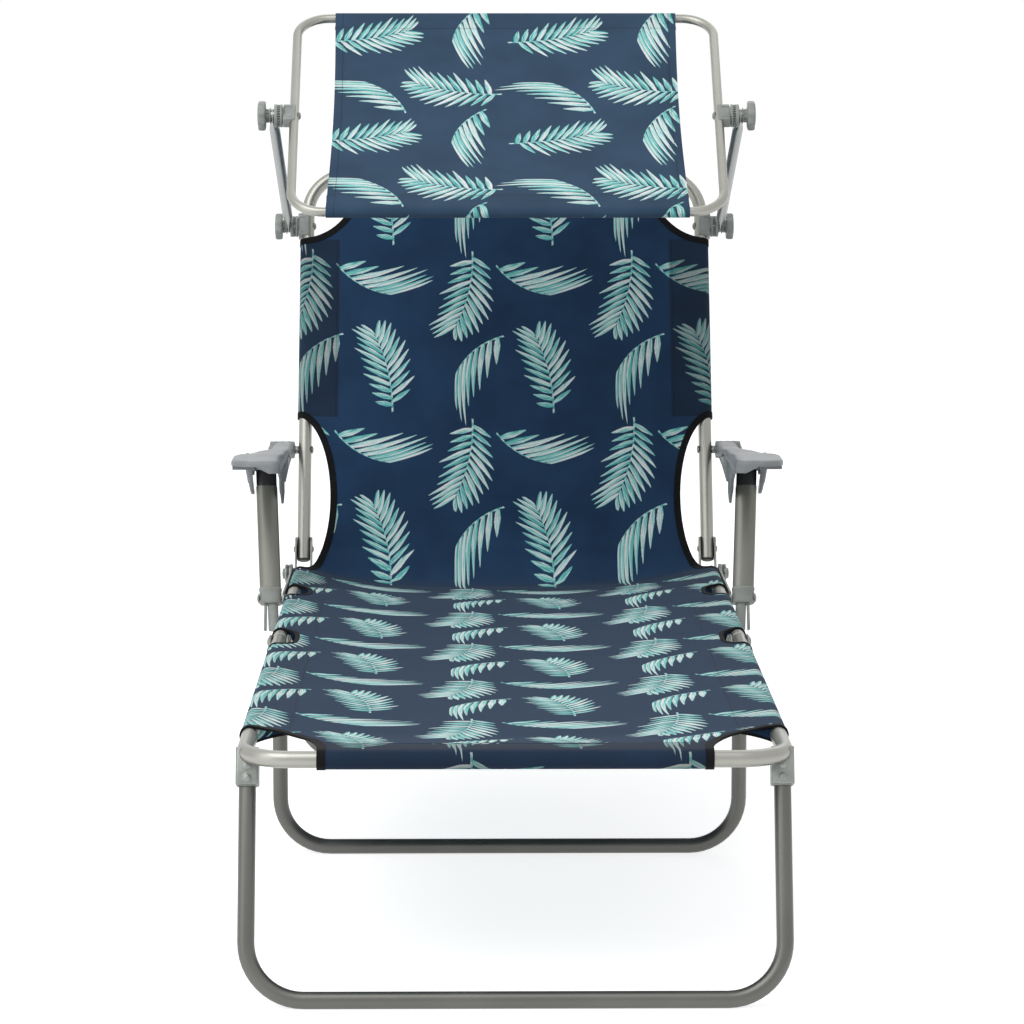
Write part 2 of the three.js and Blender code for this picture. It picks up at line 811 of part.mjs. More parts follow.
// A saddle on the outer side of a tube, with its rivet through the tube and a toothed face outside.
function clampBlock(tubeCut, centre, radius) {
  const deep = radius + gap + toothDepth;
  const saddle = cut(block(centre - pinRadius, blockFace, -blockHalf, blockHalf, -deep, deep), tubeCut);
  const shank = centre + radius + gap;
  const rivet = join(
    crossBar(pinRadius, centre - radius - 2 * gap, shank + gap),
    domeHead(rivetRadius, -rivetRise, centre - radius - gap),
  );
  const ring = toothedDisc(ringRadius, ringTeeth, ringWall + gap, pinRadius + gap);
  const body = join(saddle, rivet, ring.translate(blockFace - gap, 0, 0));
  return cut(body, crossBar(pinRadius + gap, shank + 2 * gap, blockFace + ringWall + overrun));
}

function canopyLink() {
  const centre = linkInner + linkWall / 2;
  const bar = tube(
    [point(centre, linkNeck, 0), point(centre, canopyLinkLength - linkNeck, 0)],
    0,
    ovalSection(linkDeep / 2, linkWide / 2, tubeSides),
  );
  const parts = [bar];
  for (const [end, inward] of [[0, 1], [canopyLinkLength, -1]]) {
    const neck = end + inward * (linkNeck + linkEye);
    const [from, to] = inward > 0 ? [end, neck] : [neck, end];
    parts.push(sidePlate(linkOutline(from, to, linkWide / 2, linkWide / 2), linkInner, linkWall));
    parts.push(crossBar(linkEye, linkInner, linkInner + linkWall, end, 0, tubeSides));
    const ring = toothedDisc(ringRadius, ringTeeth, linkRingWall + gap, pinRadius + gap, true);
    parts.push(ring.translate(linkInner + gap, end, 0));
  }
  const reach = linkInner + linkWall + overrun;
  const bores = [0, canopyLinkLength].map((end) => crossBar(pinRadius + gap, blockFace, reach, end));
  return cut(join(...parts), ...bores);
}

function knob(shankEnd) {
  const outline = [];
  const steps = 4 * knobLobes;
  for (let i = 0; i < steps; i += 1) {
    const turn = (2 * Math.PI * i) / steps;
    const reach = knobRadius - (knobLobeDepth * (1 - Math.cos(knobLobes * turn))) / 2;
    outline.push(new THREE.Vector2(reach * Math.cos(turn), reach * Math.sin(turn)));
  }
  const grip = sidePlate(new THREE.Shape(outline), knobInner, knobWall);
  const neck = crossBar(neckRadius, knobNeck, knobInner + gap, 0, 0, tubeSides);
  return join(grip, neck, crossBar(pinRadius, shankEnd, knobNeck + gap));
}

function addCanopyJoints() {
  const backCut = backTube(tubeRadius + gap).translate(0, -clampAlong, 0);
  const lower = clampBlock(backCut, backSide, tubeRadius).translate(0, clampAlong, 0);
  addPair(back, "lower_clamp", lower, "knob_grey");
  const upper = clampBlock(canopyTubePath(canopyTube + gap), canopyHalf, canopyTube);
  addPair(canopy, "upper_clamp", upper, "knob_grey");
  addPair(link, "canopy_link", canopyLink(), "frame_steel");
  const lowerShank = backSide + tubeRadius + 4 * gap;
  const upperShank = canopyHalf + canopyTube + 4 * gap;
  addPair(back, "lower_knob", knob(lowerShank).translate(0, clampAlong, 0), "knob_grey");
  addPair(canopy, "upper_knob", knob(upperShank), "knob_grey");
}

// Sling cloth: panels that hang a little between the rails, with sleeves round the tubes

// A panel of cloth whose height is a formula of its place.
function clothPanel(half, from, to, across, along, heightAt) {
  const panel = new THREE.BoxGeometry(2 * half, to - from, clothWall, across, along, 1);
  panel.translate(0, (from + to) / 2, 0);
  const spots = panel.attributes.position;
  for (let i = 0; i < spots.count; i += 1) {
    spots.setZ(i, spots.getZ(i) + heightAt(spots.getX(i), spots.getY(i)));
  }
  return panel;
}

// The depth of the sling below its sleeves, fading out towards a cross tube.
function sagAt(x, half, sag, clear) {
  return sag * (1 - (x / half) ** 2) * THREE.MathUtils.smoothstep(clear, 0, sagFade);
}

function ringShape(radius) {
  const ring = roundSection(radius + gap + clothWall, strutSides);
  ring.holes.push(new THREE.Path(roundSection(radius + gap, strutSides).getPoints()));
  return ring;
}

function sideSleeve(side, radius, from, to) {
  const sleeve = new THREE.ExtrudeGeometry(ringShape(radius), { depth: to - from, bevelEnabled: false });
  return sleeve.rotateX(Math.PI / 2).translate(side, to, 0);
}

function crossSleeve(half, radius, place) {
  return sidePlate(ringShape(radius), -half, 2 * half).translate(0, place, 0);
}

function mirrored(geometry) {
  return [geometry, geometry.clone().scale(-1, 1, 1)];
}

// A cut through the cloth, drawn on the right-hand edge and made on both.
function edgeCut(draw) {
  const shape = new THREE.Shape();
  draw(shape);
  return mirrored(floorPlate(shape, -2 * seatSag, 4 * seatSag, edgeSegments));
}

const clothRise = tubeRadius + gap + clothWall / 2;
const seatEdge = railSide + tubeRadius + gap + clothWall;
const backEdge = backSide + tubeRadius + gap + clothWall;
const past = seatEdge + 4 * overrun;
const notchEdge = seatEdge - notchDepth;
const sleeveHalf = railSide - sleeveInset;
const footNotchFront = middleLegPlace - bracketDepth / 2 - bracketClear;
const footNotchRear = footLength + clothGap + notchDepth + footNotchLip;
const pivotPlace = seatEnd - linkageReach;
const seatNotchFront = pivotPlace - pivotNotchFront;
const seatNotchRear = pivotPlace + pivotNotchRear;
const seatClothEnd = rearLegPlace - bracketDepth / 2 - bracketClear;
const armholeTo = strutLength + armholePast;
const backClothTop = clampAlong - blockHalf - clampClear;

function addFootCloth() {
  const end = footLength - clothGap;
  const height = (x, y) => clothRise - sagAt(x, railSide, seatSag, y);
  const frontCorner = edgeCut((shape) => {
    shape.moveTo(past, -seatSag);
    shape.lineTo(past, frontCut);
    shape.lineTo(seatEdge, frontCut);
    shape.quadraticCurveTo((railSide + seatEdge - notchDepth) / 2, frontCut / 3, sleeveHalf, 0);
    shape.lineTo(sleeveHalf, -seatSag);
    shape.closePath();
  });
  const notch = edgeCut((shape) => {
    shape.moveTo(past, footNotchFront);
    shape.lineTo(seatEdge, footNotchFront);
    shape.quadraticCurveTo(notchEdge, footNotchFront, notchEdge, footNotchFront + notchDepth);
    shape.lineTo(notchEdge, end + overrun);
    shape.lineTo(past, end + overrun);
    shape.closePath();
  });
  const cloth = join(
    clothPanel(railSide, 0, end, clothAcross, 8, height),
    ...mirrored(sideSleeve(railSide, tubeRadius, frontCut, footNotchFront)),
    crossSleeve(sleeveHalf, tubeRadius, 0),
  );
  add(seat, "foot_cloth", cut(cloth, ...frontCorner, ...notch), "cloth_navy");
}

function addSeatCloth() {
  const start = footLength + clothGap;
  const end = seatEnd - backClothGap;
  const height = (x) => clothRise - sagAt(x, railSide, seatSag, sagFade);
  const notch = edgeCut((shape) => {
    shape.moveTo(past, footNotchRear);
    shape.lineTo(seatEdge, footNotchRear);
    shape.quadraticCurveTo(notchEdge, footNotchRear, notchEdge, footNotchRear - notchDepth);
    shape.lineTo(notchEdge, start - overrun);
    shape.lineTo(past, start - overrun);
    shape.closePath();
  });
  const middle = (seatNotchFront + seatNotchRear) / 2;
  const halfLong = (seatNotchRear - seatNotchFront) / 2;
  const pivotNotch = edgeCut((shape) => {
    shape.absellipse(seatEdge, middle, notchDepth, halfLong, 0, 2 * Math.PI);
  });
  const rearCut = edgeCut((shape) => {
    shape.moveTo(past, seatClothEnd);
    shape.lineTo(seatEdge, seatClothEnd);
    shape.quadraticCurveTo(notchEdge, seatClothEnd, backEdge - armholeDepth / 2, end + overrun);
    shape.lineTo(past, end + overrun);
    shape.closePath();
  });
  const cloth = join(
    clothPanel(railSide, start, end, clothAcross, 2, height),
    ...mirrored(sideSleeve(railSide, tubeRadius, footNotchRear, seatNotchFront)),
    ...mirrored(sideSleeve(railSide, tubeRadius, seatNotchRear, seatClothEnd)),
  );
  add(seat, "seat_cloth", cut(cloth, ...notch, ...pivotNotch, ...rearCut), "cloth_navy");
}

function addBackCloth() {
  const start = backClothGap;
  const height = (x, y) => clothRise - sagAt(x, backSide, backSag, backLength - y);
  const middle = (armholeFrom + armholeTo) / 2;
  const halfLong = (armholeTo - armholeFrom) / 2;
  const armhole = edgeCut((shape) => {
    shape.absellipse(backEdge, middle, armholeDepth, halfLong, 0, 2 * Math.PI);
  });
  const topCorner = edgeCut((shape) => {
    shape.moveTo(past, backClothTop);
    shape.lineTo(backEdge, backClothTop);
    shape.quadraticCurveTo(backEdge - topCut * topCutShare, backClothTop, sleeveHalf, backLength);
    shape.lineTo(sleeveHalf, backLength + backBend);
    shape.lineTo(past, backLength + backBend);
    shape.closePath();
  });
  const cloth = join(
    clothPanel(backSide, start, backLength, clothAcross, 6, height),
    ...mirrored(sideSleeve(backSide, tubeRadius, armholeTo - armholeFrom, backClothTop)),
    crossSleeve(sleeveHalf, tubeRadius, backLength),
  );
  add(back, "back_cloth", cut(cloth, ...armhole, ...topCorner), "cloth_navy");
}

function addCanopyCloth() {
  const half = canopyHalf - canopyClothInset;
  const rise = canopyTube + gap + clothWall / 2;
  const length = canopyFront + canopyRear;
  const height = (x, y) => {
    const share = (y + canopyFront) / length;
    return rise - 4 * canopySag * share * (1 - share);
  };
  const cloth = join(
    clothPanel(half, -canopyFront, canopyRear, 2, 12, height),
    crossSleeve(half, canopyTube, -canopyFront),
    crossSleeve(half, canopyTube, canopyRear),
  );
  add(canopy, "canopy_cloth", cloth, "cloth_navy");
}

addFootFrame();
addSeatRails();
const footCut = footTube(tubeRadius + gap);
addLeg("front", frontLegPlace, frontLegLean, footCut);
addLeg("middle", middleLegPlace, 0, footCut);
addLeg("rear", rearLegPlace, 0, seatRail(tubeRadius + gap));
addFootHinge();
addReclineJoint();
addBackFrame();
addStruts();
addArmrests();
addCanopyFrame();
addCanopyJoints();
addFootCloth();
addSeatCloth();
addBackCloth();
addCanopyCloth();

// The origin is under the middle of the whole lounger, on the floor.
const bounds = new THREE.Box3().setFromObject(lounger, true);
const middle = bounds.getCenter(new THREE.Vector3());
lounger.position.set(-middle.x, -middle.y, -bounds.min.z);

const model = new THREE.Group();
model.add(lounger);

export default model;
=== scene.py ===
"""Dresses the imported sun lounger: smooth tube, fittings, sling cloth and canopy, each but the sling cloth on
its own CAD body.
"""

from __future__ import annotations

import json
import logging
import math
from bisect import bisect_right
from dataclasses import astuple, dataclass, field
from enum import Enum
from typing import Callable, Iterator, Sequence

import bmesh
import bpy
from mathutils import Matrix, Vector, noise

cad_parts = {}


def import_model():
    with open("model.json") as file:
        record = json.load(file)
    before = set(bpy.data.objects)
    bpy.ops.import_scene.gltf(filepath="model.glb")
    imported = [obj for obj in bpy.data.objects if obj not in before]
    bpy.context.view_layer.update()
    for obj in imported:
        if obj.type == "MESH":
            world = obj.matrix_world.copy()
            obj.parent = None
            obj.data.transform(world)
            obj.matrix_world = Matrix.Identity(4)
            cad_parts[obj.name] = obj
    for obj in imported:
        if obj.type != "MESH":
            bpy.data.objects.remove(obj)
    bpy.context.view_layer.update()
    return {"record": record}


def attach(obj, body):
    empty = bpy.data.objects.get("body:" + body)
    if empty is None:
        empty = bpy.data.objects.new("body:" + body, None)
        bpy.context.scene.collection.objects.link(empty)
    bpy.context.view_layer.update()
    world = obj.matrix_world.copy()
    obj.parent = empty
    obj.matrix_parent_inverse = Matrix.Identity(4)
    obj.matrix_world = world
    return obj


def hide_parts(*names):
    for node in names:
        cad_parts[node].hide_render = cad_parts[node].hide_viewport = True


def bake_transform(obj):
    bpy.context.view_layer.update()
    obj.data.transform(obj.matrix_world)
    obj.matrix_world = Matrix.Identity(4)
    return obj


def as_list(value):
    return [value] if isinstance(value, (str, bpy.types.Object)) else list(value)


Socket = bpy.types.NodeSocket
Points = list[tuple[float, float]]
Outline = Sequence[tuple[float, float]]
LOG = logging.getLogger("lounger")
MILLIMETRE = 0.001
ROUND_SIDES = 32
BEND_STEPS = 12
WHITE = (1.0, 1.0, 1.0, 1.0)


class Station(Enum):
    """The frames of reference that pieces are drawn in, each with its own Y along a section."""

    SEAT = "seat"
    BACK = "back"
    STRUT = "strut"
    ARMREST = "armrest"
    LINK = "link"
    CANOPY = "canopy"
    FRONT_LEG = "front_leg"
    MIDDLE_LEG = "middle_leg"
    REAR_LEG = "rear_leg"
    FOOT_HINGE = "foot_hinge"


class Side(Enum):
    """The two sides of the lounger, as seen from the foot end."""

    LEFT = "left"
    RIGHT = "right"


@dataclass(frozen=True)
class Sizes:
    """The sizes that several sub-assemblies share, in millimetres."""

    tube: float = 9.0
    rail_side: float = 281.0
    rail_height: float = 252.0
    pivot_height: float = 249.0
    foot_length: float = 706.0
    seat_end: float = 1275.0
    strut_place: float = 1060.0
    back_side: float = 278.0
    back_length: float = 592.0
    back_lean: float = 25.0
    leg_side: float = 278.0
    front_leg_place: float = 42.0
    front_leg_lean: float = 19.0
    middle_leg_place: float = 655.0
    rear_leg_place: float = 1205.0
    strut_length: float = 179.0
    clamp_along: float = 512.0
    link_rise: float = 23.1
    link_length: float = 425.0
    canopy_slope: float = 33.0
    canopy_front: float = -212.0
    canopy_rear: float = 230.0


SIZES = Sizes()
LEGS = (
    ("front", Station.FRONT_LEG, "foot_section"),
    ("middle", Station.MIDDLE_LEG, "foot_section"),
    ("rear", Station.REAR_LEG, "mid_section"),
)


class Frames:
    """Turns millimetres in a station's frame into metres in the row's frame."""

    def __init__(self, record: dict, sizes: Sizes) -> None:
        """Reads where the foot hinge lies, and places every station from it.

        Args:
            record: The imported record, which gives the joints' places.
            sizes: The shared sizes.
        """
        hinge = next(j for j in record["behaviour"]["joints"] if j["name"] == "foot_fold")
        self.shift = hinge["pos_m"][1] / MILLIMETRE - sizes.foot_length
        lean = math.radians(sizes.back_lean)
        along = Vector((0.0, math.sin(lean), math.cos(lean)))
        back = Vector((0.0, sizes.seat_end, sizes.pivot_height))
        strut = Vector((0.0, sizes.strut_place, sizes.pivot_height))
        clamp = back + along * sizes.clamp_along
        rise = math.radians(sizes.link_rise)
        canopy = clamp + Vector((0.0, -math.cos(rise), math.sin(rise))) * sizes.link_length
        rail = sizes.rail_height
        upright = 90.0 - sizes.back_lean
        places = {
            Station.SEAT: (Vector((0.0, 0.0, rail)), 0.0),
            Station.FOOT_HINGE: (Vector((0.0, sizes.foot_length, rail)), 0.0),
            Station.FRONT_LEG: (Vector((0.0, sizes.front_leg_place, rail)), -sizes.front_leg_lean),
            Station.MIDDLE_LEG: (Vector((0.0, sizes.middle_leg_place, rail)), 0.0),
            Station.REAR_LEG: (Vector((0.0, sizes.rear_leg_place, rail)), 0.0),
            Station.BACK: (back, upright),
            Station.STRUT: (strut, upright),
            Station.ARMREST: (back + along * sizes.strut_length, 0.0),
            Station.LINK: (clamp, 180.0 - sizes.link_rise),
            Station.CANOPY: (canopy, sizes.canopy_slope),
        }
        scale = Matrix.Scale(MILLIMETRE, 4)
        to_row = scale @ Matrix.Translation((0.0, self.shift, 0.0))
        self.matrices = {
            station: to_row @ Matrix.Translation(place) @ Matrix.Rotation(math.radians(tilt), 4, "X")
            for station, (place, tilt) in places.items()
        }

    def at(self, station: Station, x: float, y: float, z: float) -> Vector:
        """Gives a point of a station in the row's frame, in metres."""
        return self.matrices[station] @ Vector((x, y, z))


class Graph:
    """A node tree with short ways to add nodes and sums."""

    def __init__(self, tree: bpy.types.NodeTree) -> None:
        """Keeps the tree that the nodes go into."""
        self.tree = tree

    def node(self, kind: str, feeds: dict | None = None, **settings: object) -> bpy.types.Node:
        """Adds a node, sets its properties and feeds its inputs.

        Args:
            kind: The node's type name.
            feeds: What goes into its inputs, by their names or numbers.
            **settings: Properties of the node.

        Returns:
            The new node.
        """
        made = self.tree.nodes.new(kind)
        for name, value in settings.items():
            setattr(made, name, value)
        self.fill(made, feeds or {})
        return made

    def fill(self, node: bpy.types.Node, feeds: dict) -> None:
        """Links sockets into a node's inputs, or sets them to plain values.

        Args:
            node: The node.
            feeds: What goes into its inputs, by their names or numbers.
        """
        for name, value in feeds.items():
            if isinstance(value, Socket):
                self.tree.links.new(value, node.inputs[name])
            else:
                node.inputs[name].default_value = value

    def sum(self, operation: str, *values: object, clamp: bool = False) -> Socket:
        """Adds a Math node.

        Args:
            operation: The node's operation.
            *values: Sockets or numbers for its inputs, in order.
            clamp: Whether the result is held between 0 and 1.

        Returns:
            The result's socket.
        """
        feeds = dict(enumerate(values))
        return self.node("ShaderNodeMath", feeds, operation=operation, use_clamp=clamp).outputs[0]

    def plus(self, first: object, second: object, clamp: bool = False) -> Socket:
        """Adds two values."""
        return self.sum("ADD", first, second, clamp=clamp)

    def minus(self, first: object, second: object) -> Socket:
        """Takes the second value from the first."""
        return self.sum("SUBTRACT", first, second)

    def times(self, first: object, second: object, clamp: bool = False) -> Socket:
        """Multiplies two values."""
        return self.sum("MULTIPLY", first, second, clamp=clamp)

    def over(self, first: object, second: object) -> Socket:
        """Divides the first value by the second."""
        return self.sum("DIVIDE", first, second)

    def most(self, first: object, second: object) -> Socket:
        """Gives the larger of two values."""
        return self.sum("MAXIMUM", first, second)

    def vector(self, operation: str, *values: object) -> Socket:
        """Adds a Vector Math node and gives its vector result."""
        return self.node("ShaderNodeVectorMath", dict(enumerate(values)), operation=operation).outputs[0]

    def turned(self, vector: object, angle: float) -> Socket:
        """Turns a vector about Z."""
        feeds = {"Vector": vector, "Angle": angle}
        return self.node("ShaderNodeVectorRotate", feeds, rotation_type="Z_AXIS").outputs[0]

    def parts(self, vector: object) -> bpy.types.bpy_prop_collection:
        """Splits a vector into X, Y and Z."""
        return self.node("ShaderNodeSeparateXYZ", {0: vector}).outputs

    def joined(self, *values: object) -> Socket:
        """Joins X, Y and Z into a vector."""
        return self.node("ShaderNodeCombineXYZ", dict(enumerate(values))).outputs[0]

    def place(self) -> Socket:
        """Gives the object's own coordinates."""
        return self.node("ShaderNodeTexCoord").outputs["Object"]

    def mix(self, factor: object, first: object, second: object) -> Socket:
        """Mixes two colours, of which the second shows as much as the factor says."""
        feeds = {"Factor": factor, 6: first, 7: second}
        return self.node("ShaderNodeMix", feeds, data_type="RGBA", blend_type="MIX").outputs[2]

    def ramp(self, value: object, stops: Sequence[tuple[float, tuple[float, ...]]]) -> Socket:
        """Adds a colour ramp.

        Args:
            value: What the ramp reads.
            stops: Each stop's place and colour.

        Returns:
            The ramp's colour socket.
        """
        made = self.node("ShaderNodeValToRGB")
        elements = made.color_ramp.elements
        while len(elements) < len(stops):
            elements.new(0.5)
        for element, (place, colour) in zip(elements, stops):
            element.position = place
            element.color = (*colour[:3], 1.0)
        self.fill(made, {0: value})
        return made.outputs[0]

    def noise(self, vector: object, scale: float, detail: float = 2.0, rough: float = 0.5) -> Socket:
        """Adds a noise texture and gives its value."""
        feeds = {"Vector": vector, "Scale": scale, "Detail": detail, "Roughness": rough}
        return self.node("ShaderNodeTexNoise", feeds).outputs[0]

    def bump(self, height: object, strength: float, distance: float, **under: object) -> Socket:
        """Adds a bump node.

        Args:
            height: The height's socket.
            strength: How strongly it shows.
            distance: The height's reach in metres.
            **under: The Normal to build on, if any.

        Returns:
            The normal's socket.
        """
        feeds = {"Strength": strength, "Distance": distance, "Height": height, **under}
        return self.node("ShaderNodeBump", feeds).outputs[0]


def linear(code: int) -> tuple[float, float, float, float]:
    """Turns a colour such as 0x2c3d5c into the linear values that shaders use."""
    channels = [((code >> shift) & 0xFF) / 255.0 for shift in (16, 8, 0)]
    low = [c / 12.92 if c <= 0.04045 else ((c + 0.055) / 1.055) ** 2.4 for c in channels]
    return (low[0], low[1], low[2], 1.0)


def tint(colour: Sequence[float], share: float) -> tuple[float, ...]:
    """Makes a colour darker or lighter by a share."""
    return tuple(min(1.0, c * share) for c in colour[:3])


@dataclass(frozen=True)
class Finish:
    """A surface finish, made into one material the first time that it is asked for."""

    name: str
    slot: str

    def material(self) -> bpy.types.Material:
        """Gives the finish's material, and makes it if it isn't there yet.

        Returns:
            The material.
        """
        found = bpy.data.materials.get(self.name)
        if found is not None:
            return found
        made = bpy.data.materials.new(self.name)
        made.use_nodes = True
        graph = Graph(made.node_tree)
        graph.fill(made.node_tree.nodes["Principled BSDF"], self.dress(graph))
        return made

    def dress(self, graph: Graph) -> dict[str, object]:
        """Gives what goes into the shader's inputs. Each kind of finish has its own way."""
        raise NotImplementedError


@dataclass(frozen=True)
class PowderCoat(Finish):
    """Powder-coated steel: a soft sheen over a fine orange peel, with a slow drift of colour and gloss."""

    colour: int = 0xB9BCBE
    metallic: float = 0.55
    roughness: float = 0.34

    def dress(self, graph: Graph) -> dict[str, object]:
        """Gives colour drift, orange peel, metal flake and uneven gloss.

        Args:
            graph: The material's graph.

        Returns:
            What goes into the shader's inputs.
        """
        place = graph.place()
        drift = graph.noise(place, 9.0, 3.0)
        peel = graph.noise(place, 900.0)
        flake = graph.noise(place, 5200.0, 1.0)
        base = linear(self.colour)
        colour = graph.ramp(drift, [(0.3, tint(base, 0.82)), (0.7, tint(base, 1.12))])
        gloss = graph.plus(self.roughness - 0.05, graph.times(drift, 0.1))
        return {
            "Base Color": graph.mix(0.5, colour, base),
            "Metallic": self.metallic,
            "Roughness": graph.plus(gloss, graph.times(graph.minus(flake, 0.5), 0.22)),
            "Coat Weight": 0.1,
            "Coat Roughness": 0.26,
            "Normal": graph.bump(peel, 0.12, 0.0004),
        }


@dataclass(frozen=True)
class Zinc(Finish):
    """Zinc-plated pressed steel: bright, with faint spangle, blotches and rolling marks."""

    colour: int = 0xC4C7C6
    roughness: float = 0.3

    def dress(self, graph: Graph) -> dict[str, object]:
        """Gives spangle, rolling marks and uneven gloss.

        Args:
            graph: The material's graph.

        Returns:
            What goes into the shader's inputs.
        """
        place = graph.place()
        cells = graph.node("ShaderNodeTexVoronoi", {"Vector": place, "Scale": 260.0}).outputs["Distance"]
        marks = graph.noise(graph.vector("MULTIPLY", place, (60.0, 900.0, 900.0)), 1.0)
        blotch = graph.noise(place, 60.0, 3.0)
        base = linear(self.colour)
        rough = graph.plus(self.roughness, graph.times(cells, 0.16))
        return {
            "Base Color": graph.ramp(blotch, [(0.32, tint(base, 0.72)), (0.62, base)]),
            "Metallic": 0.9,
            "Roughness": graph.plus(rough, graph.times(marks, 0.1)),
            "Normal": graph.bump(marks, 0.1, 0.0003),
        }


@dataclass(frozen=True)
class Moulding(Finish):
    """Moulded plastic: an even colour with a fine spark-eroded grain and faint flow marks."""

    colour: int = 0xA2A5A8
    roughness: float = 0.5
    grain: float = 0.35

    def dress(self, graph: Graph) -> dict[str, object]:
        """Gives grain, flow marks and uneven gloss.

        Args:
            graph: The material's graph.

        Returns:
            What goes into the shader's inputs.
        """
        place = graph.place()
        grain = graph.noise(place, 1500.0, 3.0, 0.6)
        flow = graph.noise(graph.vector("MULTIPLY", place, (40.0, 12.0, 40.0)), 1.0, 3.0)
        base = linear(self.colour)
        return {
            "Base Color": graph.ramp(flow, [(0.35, tint(base, 0.86)), (0.65, tint(base, 1.1))]),
            "Roughness": graph.plus(self.roughness - 0.06, graph.times(grain, 0.14)),
            "Specular IOR Level": 0.42,
            "Normal": graph.bump(grain, self.grain, 0.0003),
        }


FRAME_STEEL = PowderCoat("Silver grey powder coat", "frame_steel", 0xA3A39C, 0.85, 0.36)
LEG_STEEL = PowderCoat("Dark grey powder coat", "leg_steel", 0x6B6B67, 0.75, 0.38)
ZINC = Zinc("Zinc plate", "zinc", 0x989C98)
PAD_PLASTIC = Moulding("Grey armrest moulding", "moulded_grey", 0x95999C, 0.36, 0.25)
CAP_PLASTIC = Moulding("Dark cap moulding", "dark_plastic", 0x35383A, 0.5, 0.3)
KNOB_PLASTIC = Moulding("Grey knob moulding", "knob_grey", 0x9A9F9B, 0.42, 0.25)
STRUT_STEEL = PowderCoat("Strut grey powder coat", "leg_steel", 0x7D7E76, 0.4, 0.4)
LINK_STEEL = PowderCoat("Link grey powder coat", "frame_steel", 0x9C9F9E, 0.75, 0.36)


def moved(x: float = 0.0, y: float = 0.0, z: float = 0.0) -> Matrix:
    """Gives the matrix that moves a shape, in millimetres."""
    return Matrix.Translation((x, y, z))


def rotated(degrees: float, axis: str) -> Matrix:
    """Gives the matrix that turns a shape about an axis."""
    return Matrix.Rotation(math.radians(degrees), 4, axis)


def arc(y: float, z: float, radius: float, first: float, last: float, steps: int) -> Points:
    """Gives the points of an arc about a centre, by its first and last angles in degrees."""
    turns = [math.radians(first + (last - first) * i / steps) for i in range(steps + 1)]
    return [(y + radius * math.cos(turn), z + radius * math.sin(turn)) for turn in turns]


def only(found: Sequence[object], kind: type) -> list:
    """Picks one kind of element out of an operator's result."""
    return [element for element in found if isinstance(element, kind)]


def grid(columns: int, rows: int) -> tuple[bmesh.types.BMesh, Iterator[tuple[bmesh.types.BMVert, int, int]]]:
    """Lays out a flat grid, ready to be shaped.

    Args:
        columns: How many columns of faces it has.
        rows: How many rows of vertices it has.

    Returns:
        The grid, and each of its vertices with its column and row.
    """
    made = bmesh.new()
    bmesh.ops.create_grid(made, x_segments=columns, y_segments=rows - 1, size=1.0)
    cells = (
        (vert, round((vert.co.x + 1.0) / 2.0 * columns), round((vert.co.y + 1.0) / 2.0 * (rows - 1)))
        for vert in made.verts
    )
    return made, cells


def pour(part: bmesh.types.BMesh, whole: bmesh.types.BMesh) -> None:
    """Adds a part to a mesh.

    Args:
        part: The part, which is freed.
        whole: The mesh that takes it.
    """
    carrier = bpy.data.meshes.new("carrier")
    part.to_mesh(carrier)
    part.free()
    whole.from_mesh(carrier)
    bpy.data.meshes.remove(carrier)


def shown(name: str, data: bpy.types.ID) -> bpy.types.Object:
    """Puts a mesh, a lamp or a camera into the scene.

    Args:
        name: The object's name.
        data: What the object shows.

    Returns:
        The new object.
    """
    made = bpy.data.objects.new(name, data)
    bpy.context.scene.collection.objects.link(made)
    return made


